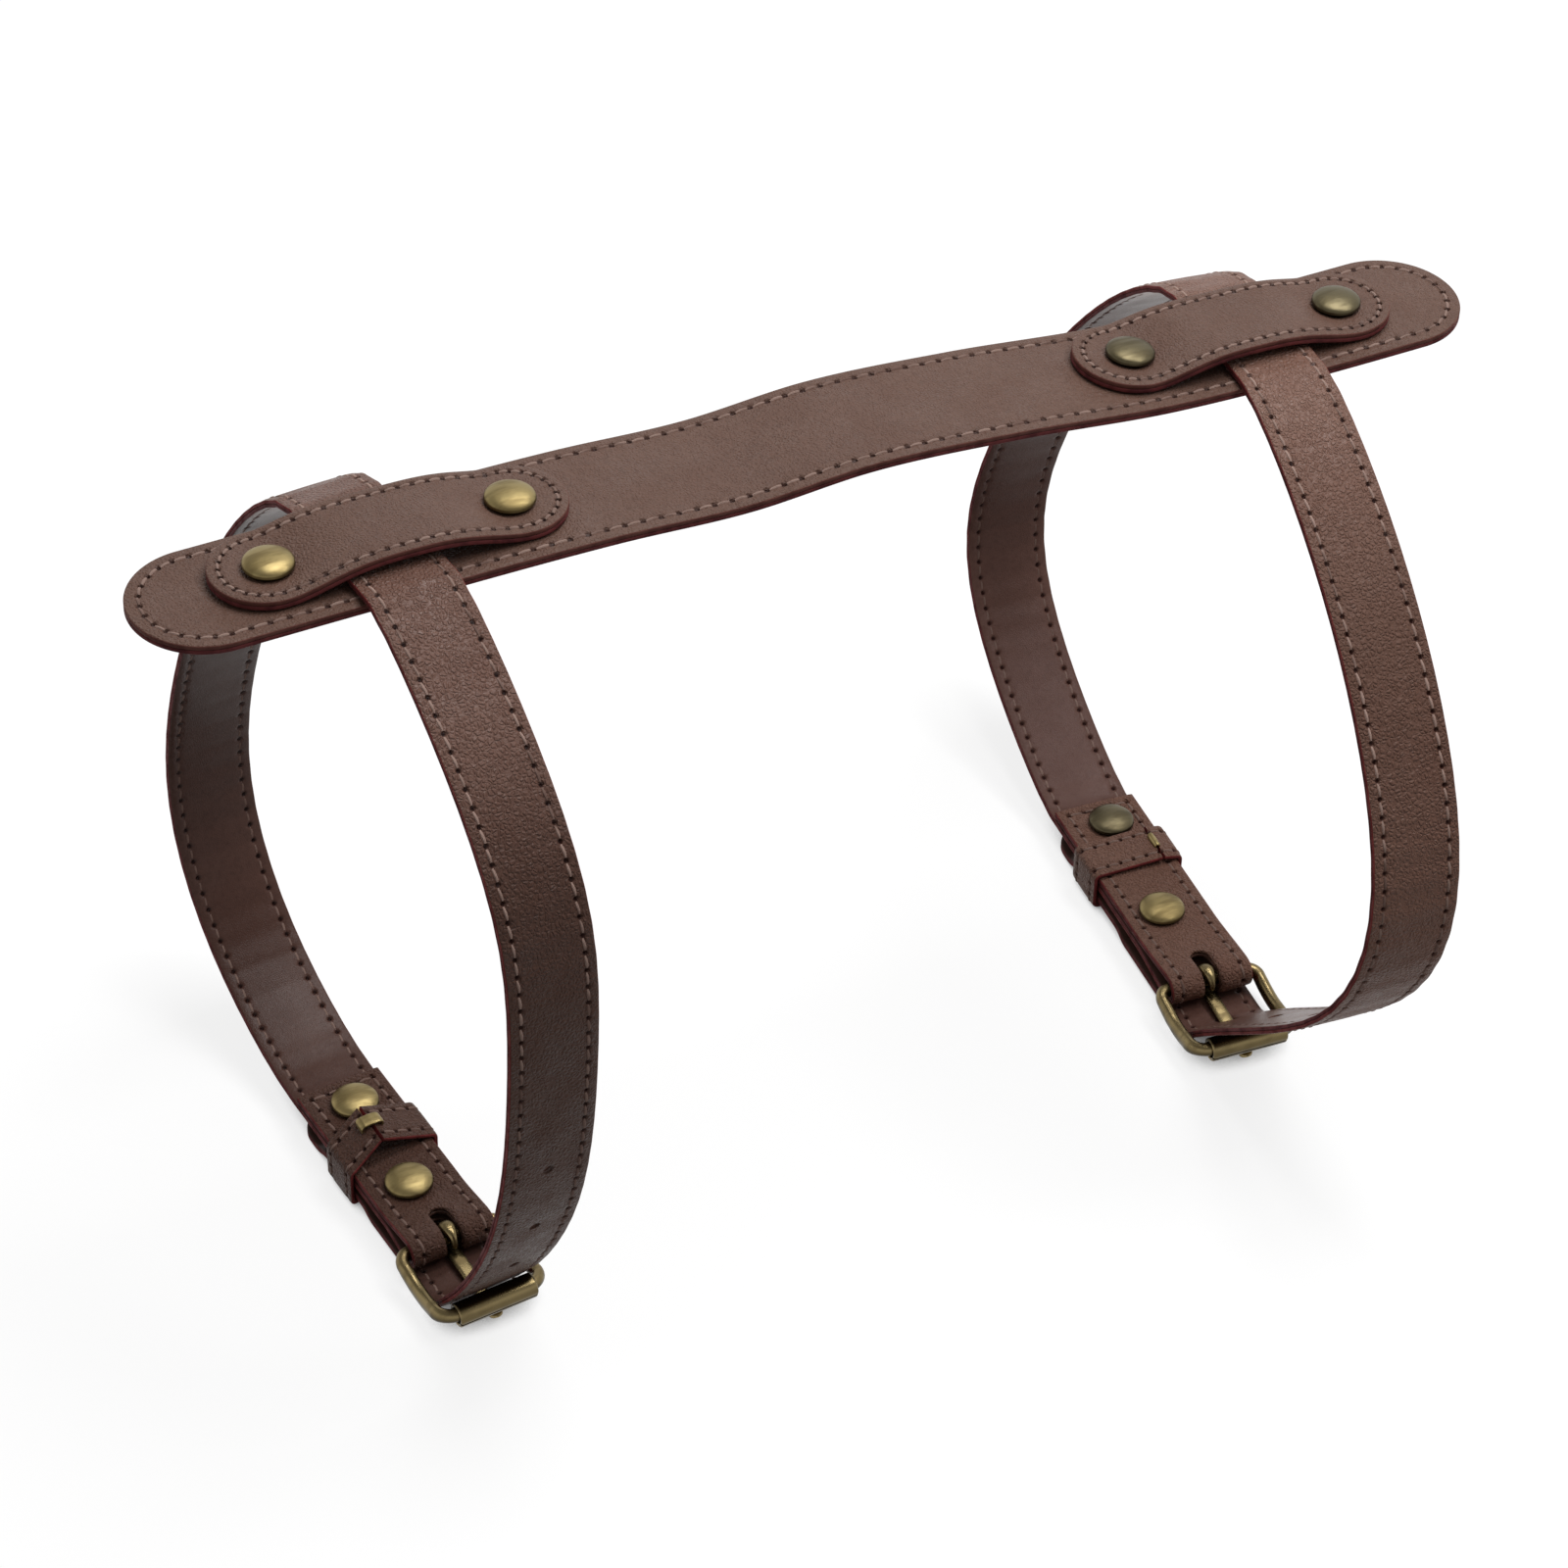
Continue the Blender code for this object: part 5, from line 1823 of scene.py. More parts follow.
@dataclass
class SewnStrap(Sewn):
    """Strap of two plies with its seams, punched holes and tongue slot."""

    line: StrapLine
    seam: Seam
    press_reach: float = 3.0 * MM
    full: float = 0.10 * MM
    wave: float = 0.045 * MM
    wave_lengths: tuple[float, float, float] = (7 * MM, 5 * MM, 23 * MM)

    @property
    def name(self) -> str:
        """Name of the strap, which is also its body's."""
        return f"{self.line.shape.name}_strap"

    @property
    def stitch_count(self) -> int:
        """Stitches along each edge, which stop short of both ends."""
        strap = self.line.sizes.strap
        tip = strap.unsewn_tip * strap.tail_tip
        return int((self.line.track.length - self.seam.inset - tip) / self.seam.pitch)

    def half_width(self, along: Array) -> Array:
        """Half width, which ends in a quarter ellipse at the free tip.

        Args:
            along: Distance along the strap.

        Returns:
            Half widths, in the same shape.
        """
        strap = self.line.sizes.strap
        from_tip = np.clip(1 - (self.line.track.length - along) / strap.tail_tip, 0.0, 1.0)
        return strap.width / 2 * np.sqrt(np.maximum(1 - from_tip**2, strap.tip_least**2))

    def stations(self) -> Array:
        """Places along the strap: close at the needle holes and at both cut ends.

        Returns:
            Distances from the flap's end.
        """
        length = self.line.track.length
        seam = self.seam.inset + self.seam.stations(self.stitch_count)
        start = np.array([0.0, 0.03, 0.12, 0.25, 0.42, 0.8, 1.6, 2.4]) * MM
        tip = np.arange(seam[-1] + 0.5 * MM, length - 0.5 * MM, 0.5 * MM)
        return np.concatenate([start, seam, tip, length - start[4::-1]])

    def rows(self) -> Array:
        """Needle holes of the two rows across the flap, beside its far rivet.

        Returns:
            Places (along, across), shape (row, hole, 2).
        """
        strap = self.line.sizes.strap
        half = strap.width / 2 - self.seam.inset
        across = np.linspace(-half, half, round(2 * half / self.seam.pitch) + 1)
        along = np.array([self.seam.inset, strap.flap_past_rivet + strap.row_past_rivet])
        return np.stack(np.broadcast_arrays(along[:, None], across[None]), axis=-1)

    def relief(self, along: Array, inset: Array, across: Array, face: Face) -> tuple[Array, Array]:
        """Height of a face above its plain level, and the share of needle hole.

        The relief of both edge seams, a fall to the edge, a slight fullness between the seams, the rows
        across the flap and the leather pressed down round the flap's rivets are added.

        Args:
            along: Distance along the strap.
            inset: Distance in from the edge.
            across: Distance from the middle line.
            face: Which of the two faces.

        Returns:
            Height and share of hole.
        """
        seam, strap = self.seam, self.line.sizes.strap
        last = seam.inset + self.stitch_count * seam.pitch
        sewn = (along > 0.5 * seam.inset) & (along < last + 0.5 * seam.pitch)
        height, hole = seam.relief(from_nearest(along - seam.inset, seam.pitch), inset - seam.inset)
        height, hole = height * sewn, hole * sewn
        fall = seam.edge_fall(inset)
        full = self.full * ease((inset - seam.inset) / (0.5 * strap.width - seam.inset))
        short, wide, long = self.wave_lengths
        wave = self.wave * np.sin(along / short) * np.cos(across / wide + along / long)
        height = height + fall + full + wave * ease(inset / (2 * seam.inset))
        if face is Face.LINING:
            return height, hole
        for row in self.rows():
            pitch = row[1, 1] - row[0, 1]
            within = np.abs(across) < row[-1, 1] + 0.3 * pitch
            gap = from_nearest(across - row[0, 1], pitch)
            row_height, row_hole = seam.relief(gap, np.abs(along - row[0, 0]))
            height = height + row_height * within
            hole = np.maximum(hole, row_hole * within)
        shape, far = self.line.shape, strap.flap_past_rivet
        for rivet, side in ((far, shape.far_side), (far + shape.rivet_pitch, shape.near_side)):
            away = np.hypot(along - rivet, across - side)
            height = height + self.line.sizes.rivet.pressed(away, self.press_reach)
        return height, hole

    def shell(self, face: Face) -> Shell:
        """Closed ply: the whole section carried along the strap, rounded at its ends.

        Args:
            face: Which of the two plies.

        Returns:
            The shell.
        """
        strap = self.line.sizes.strap
        ply = PlyEdge(strap.ply, strap.width / 2, self.seam.inset)
        side, inset, height, paint = ply.section()
        along = self.stations()[:, None]
        across = side[None] * np.maximum(self.half_width(along) - inset[None], 0.0)
        grid_inset = np.broadcast_to(inset[None], across.shape)
        lift, hole = self.relief(along, grid_inset, across, face)
        on_face = ply.face_share(height[None])
        from_end = np.clip(np.minimum(along, self.line.track.length - along) / strap.end_rounding, 0.0, 1.0)
        lip = strap.end_rounding * (1 - np.sqrt(1 - (1 - from_end) ** 2))
        level = height[None] + (lift - strap.end_lip * lip) * on_face
        points = self.line.place(along, across, face.value * (self.line.sizes.room.glue / 2 + level))
        return Shell.grid(points, np.append(paint, 2), False, True, hole * on_face)

    def thread(self, face: Face) -> Shell:
        """Stitches of both edges of a face, and of the flap's two rows on the outer face.

        Args:
            face: Which of the two faces.

        Returns:
            The shell of all stitches.
        """
        strap = self.line.sizes.strap
        level = self.line.sizes.room.glue / 2 + strap.ply
        tubes = []
        for side in (-1, 1):
            along, across, height = self.seam.thread(11 * face.value + side + 40, self.stitch_count)
            along = self.seam.inset + along * self.seam.pitch
            middle = side * np.maximum(self.half_width(along) - self.seam.inset, 0.0)
            if face is Face.LINING:
                height = height - strap.lining_thread_sunk
            tubes.append(self.line.place(along, middle + across, face.value * (level + height)))
        if face is Face.OUTER:
            for row in self.rows():
                pitch = row[1, 1] - row[0, 1]
                across, along, height = self.seam.thread(77, len(row) - 1)
                tubes.append(self.line.place(row[0, 0] + along, row[0, 1] + across * pitch, level + height))
        return Shell.tubes(np.concatenate(tubes))

    def punched(self, along: float, radius: float, straight: float, flare: float = 0.0) -> Shell:
        """Oblong punch square to the strap: a stadium outline carried through it, wider towards the lining.

        Args:
            along: Middle of the hole on the strap.
            radius: Radius of its round ends.
            straight: Length between the ends' middles.
            flare: Change of the outline from the middle to an end of the punch, as a share.

        Returns:
            The punch.
        """
        point, normal = self.line.track.at(np.array(along))
        tangent = np.array([-normal[1], normal[0]])
        deep = self.line.sizes.strap.punch_reach * self.line.sizes.strap_thickness
        out = np.array([-deep, deep])[:, None, None]
        outline = stadium(straight, radius, 13)[None] * (1 - flare * out / deep)
        plane = point + outline[..., 1:] * tangent + out * normal
        points = self.line.hung(plane[..., 0], plane[..., 1], outline[..., 0])
        # Painted shade on the punched hole's wall.
        return Shell.grid(points, 0, False, True, self.line.sizes.strap.hole_wall_pit)

    def slot(self) -> Shell:
        """Punch of the tongue's slot: an upright stadium from behind the fold bar through the fold.

        Returns:
            The punch.
        """
        sizes = self.line.sizes
        reach = sizes.fold_radius + sizes.strap_thickness / 2 + sizes.room.seat
        length = sizes.buckle.slot_past_bar + reach + sizes.buckle.slot_width
        middle = self.line.shape.bar_y + sizes.buckle.slot_past_bar - length / 2
        outline = stadium(length - sizes.buckle.slot_width, sizes.buckle.slot_width / 2, 17)[None]
        z = sizes.buckle.fold_bar_height + np.array([-reach, reach])[:, None]
        x, y, z = np.broadcast_arrays(outline[..., 0], middle + outline[..., 1], z)
        points = self.line.footed(np.stack([x, y, z], axis=-1))
        # Painted shade on the slot's wall.
        return Shell.grid(points, 0, False, True, sizes.strap.hole_wall_pit)

    def punches(self) -> tuple[Shell, Shell, Shell]:
        """Punches of the slot, of the tongue's hole, and of the free and spare holes as one.

        Returns:
            Three shells.
        """
        sizes, shape = self.line.sizes, self.line.shape
        used = self.line.tongue_crossing()
        width = sizes.buckle.tongue_width + 2 * sizes.room.passing
        pitch, first, radius = sizes.strap.hole_pitch, sizes.strap.first_free_hole, sizes.strap.hole / 2
        steps = [-first - step * pitch for step in range(shape.free_holes)]
        steps += [step * pitch for step in range(1, sizes.strap.spare_tail_holes + 1)]
        round_holes = [self.punched(used + step, radius, 0.0, sizes.strap.hole_flare) for step in steps]
        tongue_hole = self.punched(used, width / 2, sizes.buckle.tongue_hole - width)
        return self.slot(), tongue_hole, Shell.joined(*round_holes)

    def build(self, finishes: Finishes) -> None:
        """Make both plies and their thread on the strap's body.

        Args:
            finishes: Materials of the whole carrier.
        """
        smooth = finishes.linings[self.line.shape.name]
        plies = (
            ("outer", Slot.STRAP, [finishes.straps[self.line.shape.name], finishes.strap_edge, smooth]),
            ("lining", Slot.LINING, [smooth, finishes.under_edge, smooth]),
        )
        self.build_plies(self.name, self.name, plies, finishes.thread, self.punches())


@dataclass
class Keeper:
    """Leather loop round the strap's layers, butted on the flap side under a staple."""

    line: StrapLine
    seam: Seam
    track: Track = field(init=False)
    peak: float = field(init=False)

    def __post_init__(self) -> None:
        """Lay the loop's middle line: straight sides with round corners, raised to a peak at the joint."""
        sizes, shape = self.line.sizes, self.line.shape
        seat, ply = sizes.room.seat, sizes.keeper.ply
        low = sizes.tail_z + sizes.tail_lift - sizes.strap_thickness / 2 - seat - ply / 2
        high = sizes.flap_z + sizes.strap_thickness / 2 + seat + ply / 2
        radius = ply / 2 + seat + sizes.room.passing
        self.peak = high + shape.crown
        x, upper, lower = self.side - radius, high - radius, low + radius
        corners = ((-x, upper), (-x, lower), (x, lower), (x, upper))
        path = np.vstack([
            [(shape.joint - seat, self.peak)],
            *(arc(corner, radius, i * QUARTER, (i + 1) * QUARTER, 8) for i, corner in enumerate(corners, 1)),
            [(shape.joint + seat, self.peak)],
        ])
        self.track = Track(smoothed(path, *sizes.keeper.smoothing))

    @property
    def side(self) -> float:
        """Distance from the middle to the middle line of the upright sides."""
        sizes = self.line.sizes
        return sizes.strap.width / 2 + sizes.room.passing + sizes.keeper.ply / 2

    @property
    def stitches(self) -> tuple[int, float]:
        """Number of stitches along an edge, and where they start."""
        count = int(self.track.length / self.seam.pitch)
        return count, (self.track.length - count * self.seam.pitch) / 2

    @property
    def middle(self) -> float:
        """Y of the keeper's middle."""
        return self.line.shape.bar_y + self.line.shape.near_rivet + self.line.shape.keeper

    def place(self, along: Array, across: Array, out: Array) -> Array:
        """Points in the frame: the middle line's point plus the height along its normal, and across along Y.

        Both sides hang towards the buckle from the joint, the left one further.

        Args:
            along: Distance round the keeper from its joint.
            across: Distance from its middle, along the strap.
            out: Height above its middle line.

        Returns:
            Points, with a last axis of three.
        """
        along, across, out = np.broadcast_arrays(along, across, out)
        plane = self.track.off(along, out)
        shape, x = self.line.shape, plane[..., 0]
        drawn = (shape.skew * x / 2 - shape.sag * np.abs(x - shape.joint)) / self.side
        return self.line.footed(np.stack([x, self.middle + across + drawn, plane[..., 1]], axis=-1))

    def shell(self) -> Shell:
        """Closed strip: a section with rounded painted edges carried round the middle line.

        Returns:
            The shell.
        """
        keeper = self.line.sizes.keeper
        half = keeper.width / 2
        ply = PlyEdge(keeper.ply / 2, half, self.seam.inset, keeper.rounding, groove=0.0)
        side, inset, level, paint = ply.section()
        front = np.repeat([1.0, 0.0], len(inset))
        inset, side = np.append(inset, inset[::-1]), np.append(side, -side)
        level, paint = np.append(level, -level), np.append(paint, 1)
        count, start = self.stitches
        seam = start + self.seam.stations(count)
        end = np.array([0.0, 0.1, 0.3]) * MM
        along = np.concatenate([end, seam[seam > 0.5 * MM], [self.track.length]])[:, None]
        across = side[None] * (half - inset[None])
        gap = from_nearest(along - start, self.seam.pitch)
        lift, hole = self.seam.relief(gap, inset[None] - self.seam.inset)
        fall = self.seam.edge_fall(inset[None])
        out = level[None] + (lift + fall) * front[None] * (level[None] > keeper.face_share * keeper.ply)
        points = self.place(along, across, out)
        return Shell.grid(points, np.tile(paint, 2), False, True, hole * front[None])

    def thread(self) -> Shell:
        """Stitches of both edges of the outer face.

        Returns:
            The shell of all stitches.
        """
        keeper, (count, start) = self.line.sizes.keeper, self.stitches
        tubes = []
        for side in (-1, 1):
            along, across, height = self.seam.thread(5 + side, count)
            along = start + along * self.seam.pitch
            middle = side * (keeper.width / 2 - self.seam.inset)
            tubes.append(self.place(along, middle + across, keeper.ply / 2 + height))
        return Shell.tubes(np.concatenate(tubes))

    def staple(self) -> Shell:
        """Flat staple over the joint: a superellipse section carried over its crown and down both legs.

        Returns:
            The shell.
        """
        keeper, shape = self.line.sizes.keeper, self.line.shape
        half = shape.staple[0] / 2 - keeper.staple_height / 2
        base = self.peak + keeper.ply / 2 + self.line.sizes.room.glue + keeper.staple_height / 2
        drop = keeper.staple_leg + keeper.staple_crown_share * shape.crown
        top, shoulder = keeper.staple_top_share * half, keeper.staple_shoulder
        crown = np.array([(-half, -drop), (-half, -shoulder), (-top, 0.0), (0.0, keeper.staple_bow)])
        path = np.vstack([crown, np.array([-1.0, 1.0]) * crown[-2::-1]])
        track = Track(smoothed(path, *keeper.staple_smoothing) + np.array([shape.joint, base]))
        turn = circle(20)[None]
        across = shape.staple[1] / 2 * squared_off(np.cos(turn), keeper.staple_powers[0])
        out = keeper.staple_height / 2 * squared_off(np.sin(turn), keeper.staple_powers[1])
        along, across, out = np.broadcast_arrays(track.along[:, None], across, out)
        plane = track.off(along, out)
        local = np.stack([plane[..., 0], self.middle + across, plane[..., 1]], axis=-1)
        return Shell.grid(self.line.footed(local), 0, False, True)

    def build(self, finishes: Finishes) -> None:
        """Make the keeper, its thread and its staple on the keeper's body.

        Args:
            finishes: Materials of the whole carrier.
        """
        node = f"{self.line.shape.name}_keeper"
        leather = [finishes.straps[self.line.shape.name], finishes.strap_edge]
        add_piece(f"{node}_leather", self.shell(), node, leather, (node,))
        add_piece(f"{node}_thread", self.thread(), node, [finishes.thread])
        staple = f"{node}_staple"
        add_piece(f"{staple}_brass", self.staple(), node, [finishes.brass], (staple,))


@dataclass
class Buckle:
    """Roller buckle: a bent wire frame, a rolled roller and a tongue."""

    line: StrapLine

    def frame(self) -> Shell:
        """Wire ring with round corners: a flattened round section on a closed path whose arms bow down.

        Returns:
            The shell.
        """
        sizes, buckle = self.line.sizes, self.line.sizes.buckle
        half, radius, front_radius = sizes.frame_half, buckle.corner, buckle.front_corner
        side, back = half - radius, -radius
        front_side, front, end = half - front_radius, front_radius - buckle.length, -buckle.length
        outline = np.vstack([
            arc((side, back), radius, 0.0, QUARTER, 12),
            np.linspace((side, 0.0), (-side, 0.0), 18)[1:-1],
            arc((-side, back), radius, QUARTER, 2 * QUARTER, 12),
            np.linspace((-half, back), (-half, front), 26)[1:-1],
            arc((-front_side, front), front_radius, 2 * QUARTER, 3 * QUARTER, 14),
            np.linspace((-front_side, end), (front_side, end), 18)[1:-1],
            arc((front_side, front), front_radius, 3 * QUARTER, 4 * QUARTER, 14),
            np.linspace((half, front), (half, back), 26)[1:-1],
        ])
        share = -outline[:, 1] / buckle.length
        tilt = (buckle.roller_bar_height - buckle.fold_bar_height) * share
        path = np.column_stack([outline, tilt - buckle.bow * np.sin(math.pi * share)])
        along = unit(np.roll(path, -1, axis=0) - path) + unit(path - np.roll(path, 1, axis=0))
        across = unit(np.cross(along, (0.0, 0.0, 1.0)))
        up = unit(np.cross(across, along))
        turn = circle(buckle.wire_sides)[None, :, None]
        wide = buckle.wire / 2 * squared_off(np.cos(turn), buckle.wire_power)
        on_arm = ease(np.minimum(share, 1 - share) / buckle.arm_taper)
        deep = (buckle.wire / 2 + (buckle.arm_depth - buckle.wire) / 2 * on_arm)[:, None, None]
        rings = path[:, None] + wide * across[:, None] + deep * np.sin(turn) * up[:, None]
        local = rings + np.array([0.0, self.line.shape.bar_y, buckle.fold_bar_height])
        # Painted shade: the wire is dark on its underside and sides and light along its top.
        dark = buckle.frame_dark * (1 - stepped(np.sin(turn[..., 0]), buckle.frame_dark_span))
        return Shell.grid(self.line.footed(local), 0, True, True, dark)

    def roller(self) -> Shell:
        """Rolled sheet: a wall section with rounded lips carried round the bar, from the split back to it.

        Painted shade darkens it where the strap passes over it and beside the split.

        Returns:
            The shell.
        """
        sizes, buckle = self.line.sizes, self.line.sizes.buckle
        inside = buckle.wire / 2 + sizes.room.running
        outside = buckle.roller / 2
        half = sizes.frame_half - buckle.corner - sizes.room.running
        lip = (outside - inside) / 2
        middle = (outside + inside) / 2
        right = arc((half - lip, middle), lip, -QUARTER, QUARTER, 9)
        left = arc((lip - half, middle), lip, QUARTER, 3 * QUARTER, 9)
        face = np.linspace((half - lip, outside), (lip - half, outside), 14)[1:-1]
        section = np.vstack([right, face, left])
        split = buckle.roller_split / middle / 2
        seam = buckle.roller_seam
        angle = np.linspace(seam + split, seam + 2 * math.pi - split, 64)[:, None]
        reach = buckle.roller_curl_reach
        ends = 1 - ease((angle - angle[0]) / reach) + ease((angle - angle[-1] + reach) / reach)
        radius = section[:, 1][None] - buckle.roller_curl * ends
        y, z = self.line.roller
        x = section[:, 0][None] + 0 * angle
        local = np.stack([x, y + radius * np.cos(angle), z + radius * np.sin(angle)], axis=-1)
        degrees = np.degrees(angle)
        start, end = (stepped(degrees, span) for span in buckle.roller_shade_spans)
        before, past = (stepped(degrees, span) for span in buckle.roller_split_spans)
        dark_before, dark_past = buckle.roller_split_dark
        # Painted shade where the strap passes over the roller and beside its split.
        dark = buckle.roller_shade * (start * (1 - end)) + dark_before * before + dark_past * (1 - past)
        return Shell.grid(self.line.footed(local), 0, False, True, dark)

    def tongue(self) -> Shell:
        """Bar curled round the fold bar: a superellipse section, narrow at first, then a knob, then flat.

        Returns:
            The shell.
        """
        buckle = self.line.sizes.buckle
        track = Track(smoothed(self.line.tongue_path(), *buckle.tongue_smoothing))
        share = track.along[:, None] / track.length
        knob = stepped(share, buckle.tongue_knob_span)
        plate = stepped(share, buckle.tongue_plate_span)
        thickness = buckle.tongue_eye - (buckle.tongue_eye - buckle.tongue_plate) * plate
        narrow, wider, trimmed = buckle.tongue_widths
        width = buckle.tongue_width * (narrow + wider * knob - trimmed * plate)
        tip_start, tip_reach = buckle.tongue_tip_span
        ends = ((share - tip_start) / tip_reach, 1 - share / buckle.tongue_eye_end)
        rounded = [np.sqrt(np.maximum(1 - np.clip(u, 0.0, 1.0) ** 2, buckle.tongue_least)) for u in ends]
        size = rounded[0] * rounded[1] / 2
        turn = circle(buckle.wire_sides)[None]
        round_power, flatter = buckle.tongue_powers
        power = round_power - flatter * plate
        across = squared_off(np.cos(turn), power) * width * size
        out = squared_off(np.sin(turn), power) * thickness * size
        plane = track.off(track.along[:, None] + 0 * turn, out)
        bar = np.array([0.0, self.line.shape.bar_y, buckle.fold_bar_height])
        local = np.stack([across, plane[..., 0], plane[..., 1]], axis=-1) + bar
        # Painted shadow: a dark band part way along the shaft.
        dark_at, dark_reach = buckle.tongue_dark_bell
        dark = buckle.tongue_dark * bell(share - dark_at, dark_reach)
        return Shell.grid(self.line.footed(local), 0, False, True, dark)

    def build(self, finishes: Finishes) -> None:
        """Make the frame on the strap's body, and the roller and the tongue on their own.

        Args:
            finishes: Materials of the whole carrier.
        """
        name = self.line.shape.name
        rides = (("frame", f"{name}_strap"), ("roller", f"{name}_roller"), ("tongue", f"{name}_tongue"))
        for (word, body), shell in zip(rides, (self.frame(), self.roller(), self.tongue())):
            node = f"{name}_buckle_{word}"
            add_piece(f"{node}_brass", shell, body, [finishes.bronze], (node,))


@dataclass
class Carrier:
    """Whole carrier."""

    sizes: Sizes
    origin: Array
    finishes: Finishes

    def build_handle(self) -> None:
        """Make the handle, its bands and their rivets."""
        sizes, handle, band = self.sizes, self.sizes.handle, self.sizes.band
        common = {"origin": self.origin, "sizes": sizes}
        Handle(
            name="handle", length=handle.length, width=handle.width, ply=handle.ply, middle=0.0, shift=0.0,
            seam=handle.seam, rivets=(), **common,
        ).build(self.finishes)
        upper = sizes.room.seat + sizes.sewn(band.ply)
        for shape in LOOPS:
            middle = shape.side * handle.band_spacing / 2
            away = shape.side * band.rivet_pitch / 2
            Band(
                name=f"{shape.name}_band", length=band.length, width=band.width, ply=band.ply, middle=middle,
                shift=band.shift, seam=band.seam, rivets=(away, -away), **common,
            ).build(self.finishes)
            for word, x in (("outer", middle + away), ("inner", middle - away)):
                foot = Matrix.Translation((x, 0, float(handle.height(np.array(x)))))
                tilt = Matrix.Rotation(-math.atan(handle.slope(x)), 4, "Y")
                place = foot @ tilt @ Matrix.Translation((0, 0, upper))
                Rivet(
                    name=f"{shape.name}_band_{word}_rivet", sizes=sizes.rivet, seat=sizes.room.seat,
                    stack=upper + sizes.sewn(handle.ply), body="handle",
                    place=Matrix.Translation(self.origin.tolist()) @ place,
                ).build(self.cap_metal(shape, word))

    def cap_metal(self, shape: LoopShape, word: str) -> Material:
        """Darker brass, painted shade, for the rivets that look darker, and rubbed brass for the others."""
        return self.finishes.dull_brass if word in shape.shaded_rivets else self.finishes.brass

    def build_loop(self, shape: LoopShape) -> None:
        """Make a strap with its buckle, keeper and flap rivets.

        Args:
            shape: Course of the loop.
        """
        sizes = self.sizes
        line = StrapLine(shape, sizes, self.origin)
        SewnStrap(line, sizes.strap.seam).build(self.finishes)
        Keeper(line, sizes.keeper.seam).build(self.finishes)
        Buckle(line).build(self.finishes)
        top = sizes.flap_z + sizes.strap_thickness / 2
        places = (("near", shape.near_side, shape.near_rivet), ("far", shape.far_side, shape.far_rivet))
        for word, side, reach in places:
            spot = line.footed(np.array([side, shape.bar_y + reach, top]))
            Rivet(
                name=f"{shape.name}_flap_{word}_rivet", sizes=sizes.rivet, seat=sizes.room.seat,
                stack=2 * sizes.strap_thickness + sizes.room.seat, place=Matrix.Translation(spot.tolist()),
                body=f"{shape.name}_strap",
            ).build(self.cap_metal(shape, word))

    def build(self) -> None:
        """Make everything."""
        self.build_handle()
        for shape in LOOPS:
            self.build_loop(shape)


# Studio


@dataclass(frozen=True)
class Lamp:
    """Square soft lamp that faces a point."""

    name: str
    place: Point
    aim: Point
    size: float
    power: float

    def build(self) -> None:
        """Put the lamp up, with its axes from the direction that it faces."""
        lamp = bpy.data.lights.new(self.name, "AREA")
        lamp.shape, lamp.size, lamp.energy = "SQUARE", self.size, self.power
        holder = bpy.data.objects.new(self.name, lamp)
        bpy.context.scene.collection.objects.link(holder)
        away = unit(np.array(self.place) - np.array(self.aim))
        side = unit(np.cross((0.0, 1.0, 0.001), away))
        axes = np.stack([side, np.cross(away, side), away], axis=1)
        holder.matrix_world = Matrix.Translation(self.place) @ Matrix(axes.tolist()).to_4x4()


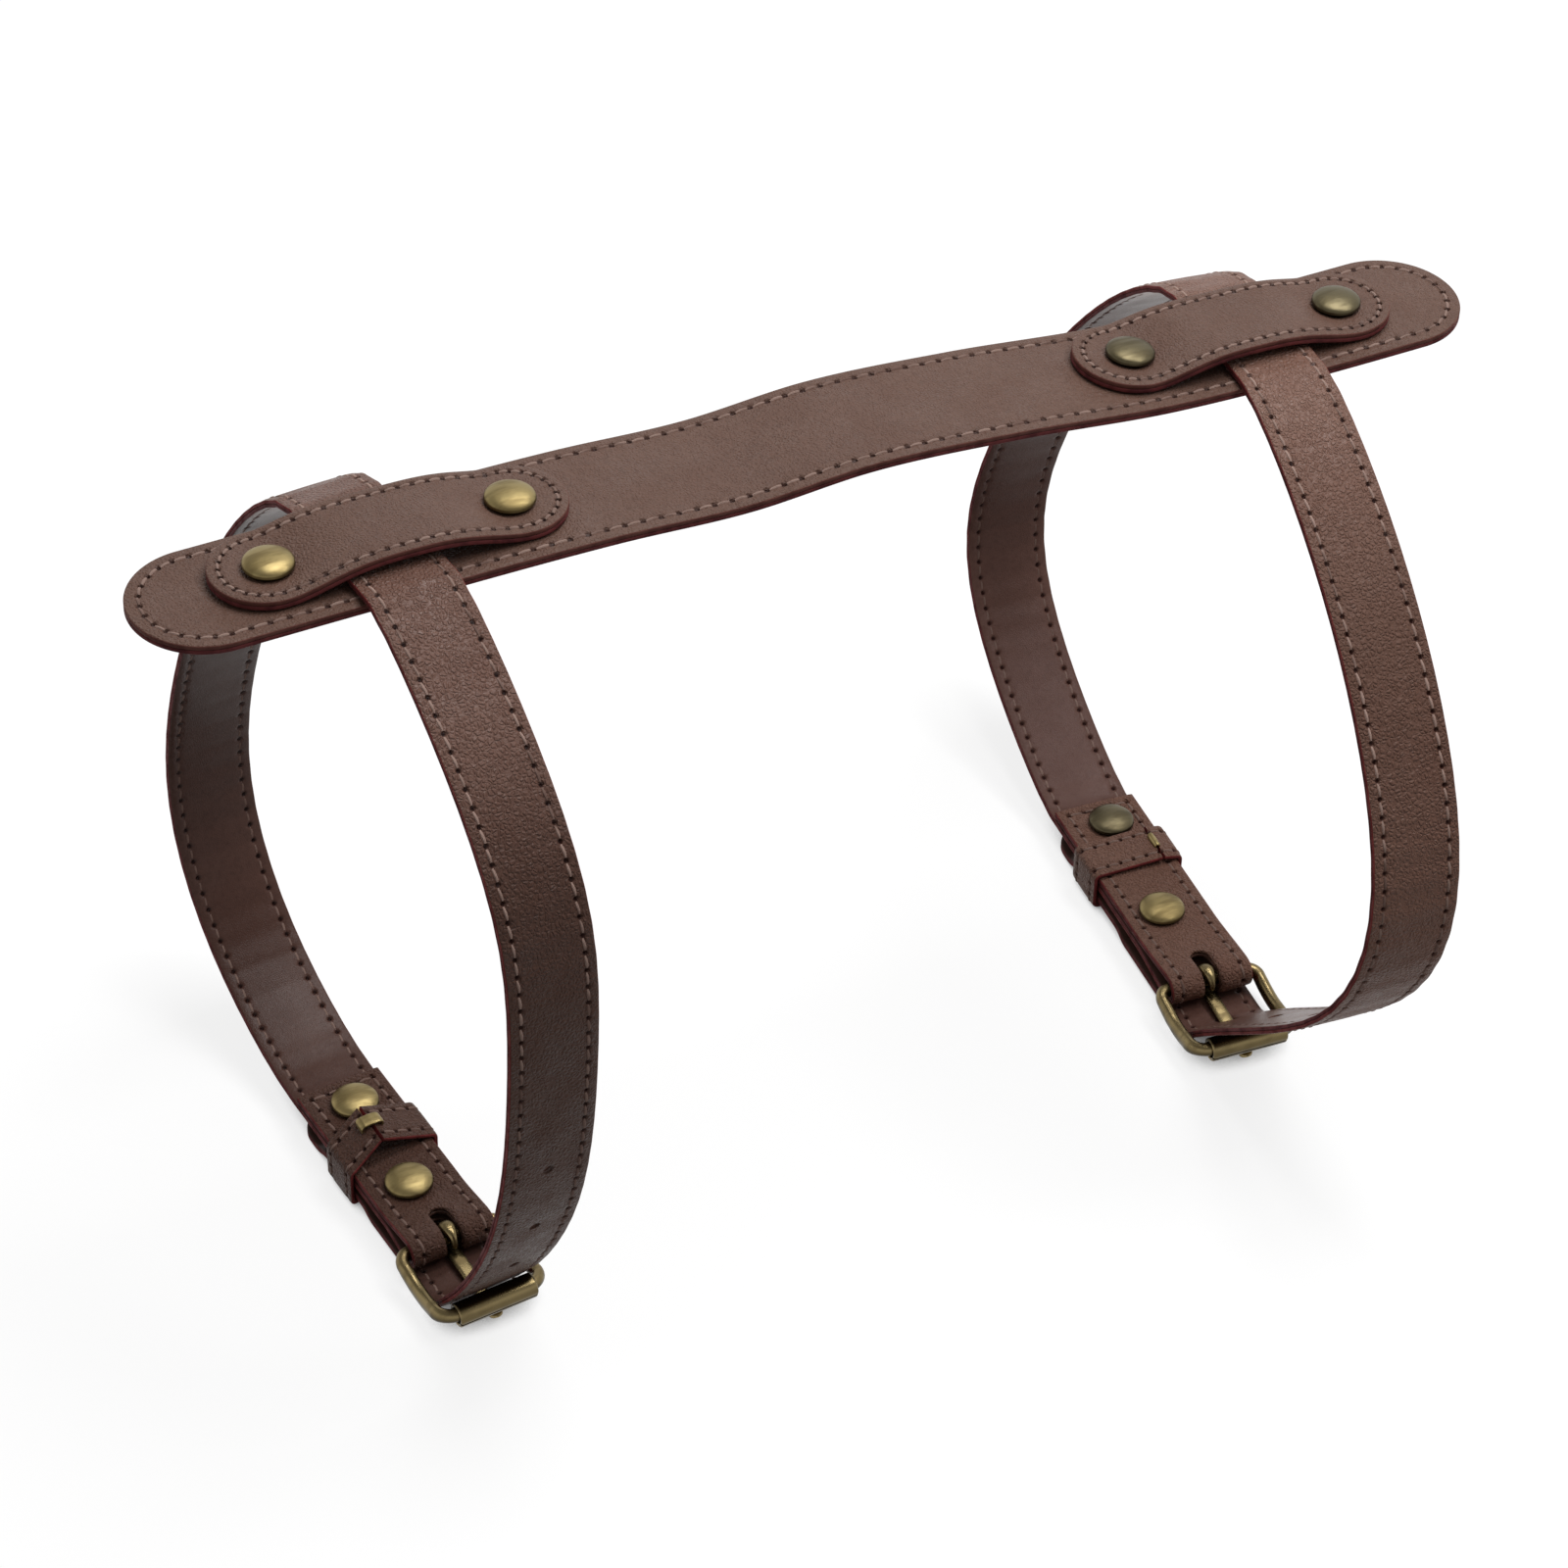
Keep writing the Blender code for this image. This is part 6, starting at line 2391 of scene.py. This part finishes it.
@dataclass(frozen=True)
class Studio:
    """Camera, floor, lamps and background."""

    camera_place: Point = (-0.419716, -0.765593, 0.819251)
    azimuth: float = math.radians(28.0036)
    elevation: float = math.radians(40.1352)
    roll: float = math.radians(1.06005)
    lens: float = 110.75
    sensor: float = 36.0
    floor_level: float = -0.6 * MM
    floor_half: float = 3.0
    floor_grey: float = 0.25
    floor_white: Span = (0.02, 0.83)
    nook_depth: float = 14.0 * MM
    nook_open: float = 0.5
    ambient: float = 0.20
    ceiling: float = 0.35
    ceiling_span: Span = (0.35, 0.8)
    lamps: tuple[Lamp, ...] = (
        Lamp("key_lamp", (0.45, 0.25, 1.5), (0.0, 0.0, 0.1), 0.9, 16.8),
        Lamp("sheen_lamp", (0.66, -0.43, 1.27), (0.05, 0.0, 0.1), 0.38, 3.36),
    )

    def add_camera(self) -> None:
        """Camera whose axes come from its azimuth, elevation and roll: right, up and minus forwards."""
        cos_e, sin_e = math.cos(self.elevation), math.sin(self.elevation)
        forwards = np.array([math.sin(self.azimuth) * cos_e, math.cos(self.azimuth) * cos_e, -sin_e])
        right = np.array([math.cos(self.azimuth), -math.sin(self.azimuth), 0.0])
        up = np.cross(right, forwards)
        cos_r, sin_r = math.cos(self.roll), math.sin(self.roll)
        axes = np.stack([cos_r * right + sin_r * up, cos_r * up - sin_r * right, -forwards], axis=1)
        lens = bpy.data.cameras.new("camera")
        lens.sensor_width, lens.lens = self.sensor, self.lens
        camera = bpy.data.objects.new("camera", lens)
        bpy.context.scene.collection.objects.link(camera)
        camera.matrix_world = Matrix.Translation(self.camera_place) @ Matrix(axes.tolist()).to_4x4()
        bpy.context.scene.camera = camera

    @staticmethod
    def seen(tree: NodeTree) -> Socket:
        """Value that is 1 for what the camera, gloss and glass see, and 0 for light on the object.

        Args:
            tree: Node tree that gets the nodes.

        Returns:
            The larger of the three kinds of ray.
        """
        rays = tree.add("ShaderNodeLightPath", {}, {}).outputs
        either = tree.math("MAXIMUM", rays["Is Camera Ray"], rays["Is Glossy Ray"])
        return tree.math("MAXIMUM", either, rays["Is Transmission Ray"])

    def add_floor(self) -> None:
        """Pale floor that turns white in the open and keeps the object's shadow; occlusion darkens its glow
        right under the object as painted shade.
        """
        board = NodeBoard("floor_paper")
        material = board.material
        grey = (self.floor_grey, self.floor_grey, self.floor_grey, 1.0)
        board.set(Base_Color=grey, Roughness=0.9, Specular_IOR_Level=0.0)
        # Painted shade: occlusion darkens the floor's glow right under the object.
        nook = board.add("ShaderNodeAmbientOcclusion", {"samples": 8}, {"Distance": self.nook_depth})
        low, high = self.floor_white
        white = {"Value": nook.outputs["AO"], "From Max": self.nook_open, "To Min": low, "To Max": high}
        colour = board.add("ShaderNodeMapRange", {}, white).outputs["Result"]
        glow = board.add("ShaderNodeEmission", {}, {"Color": colour, "Strength": self.seen(board)})
        both = board.add("ShaderNodeAddShader", {}, {0: board.shader.outputs[0], 1: glow.outputs[0]})
        board.join(board.nodes["Material Output"].inputs["Surface"], both.outputs[0])
        half = self.floor_half
        corners = [(-half, -half), (half, -half), (half, half), (-half, half)]
        mesh = bpy.data.meshes.new("floor")
        mesh.from_pydata([(x, y, self.floor_level) for x, y in corners], [], [(0, 1, 2, 3)])
        make_object("floor", mesh, [material])

    def add_world(self) -> None:
        """White backdrop under a grey ceiling for what is seen, and dimmer light on the object."""
        world = bpy.data.worlds.new("studio")
        bpy.context.scene.world = world
        tree = NodeTree(world)
        place = tree.add("ShaderNodeTexCoord", {}, {}).outputs["Generated"]
        upwards = tree.add("ShaderNodeSeparateXYZ", {}, {0: place}).outputs["Z"]
        room = tree.span(upwards, *self.ceiling_span, (1.0, self.ceiling))
        levels = {"Value": self.seen(tree), "To Min": self.ambient, "To Max": room}
        level = tree.add("ShaderNodeMapRange", {}, levels).outputs["Result"]
        backdrop = tree.nodes["Background"].inputs
        tree.join(backdrop["Strength"], level)
        tree.join(backdrop["Color"], (*WHITE, 1.0))

    def build(self) -> None:
        """Set up everything that isn't the object."""
        bpy.context.scene.view_settings.view_transform = "Standard"
        self.add_camera()
        self.add_floor()
        self.add_world()
        for lamp in self.lamps:
            lamp.build()


def main() -> None:
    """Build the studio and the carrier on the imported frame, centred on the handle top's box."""
    logging.basicConfig(level=logging.INFO, format="%(message)s")
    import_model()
    Studio().build()
    low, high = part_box("handle_top")
    origin = np.array([(low.x + high.x) / 2, (low.y + high.y) / 2, 0.0])
    Carrier(Sizes(), origin, Finishes.make()).build()


if __name__ == "__main__":
    main()
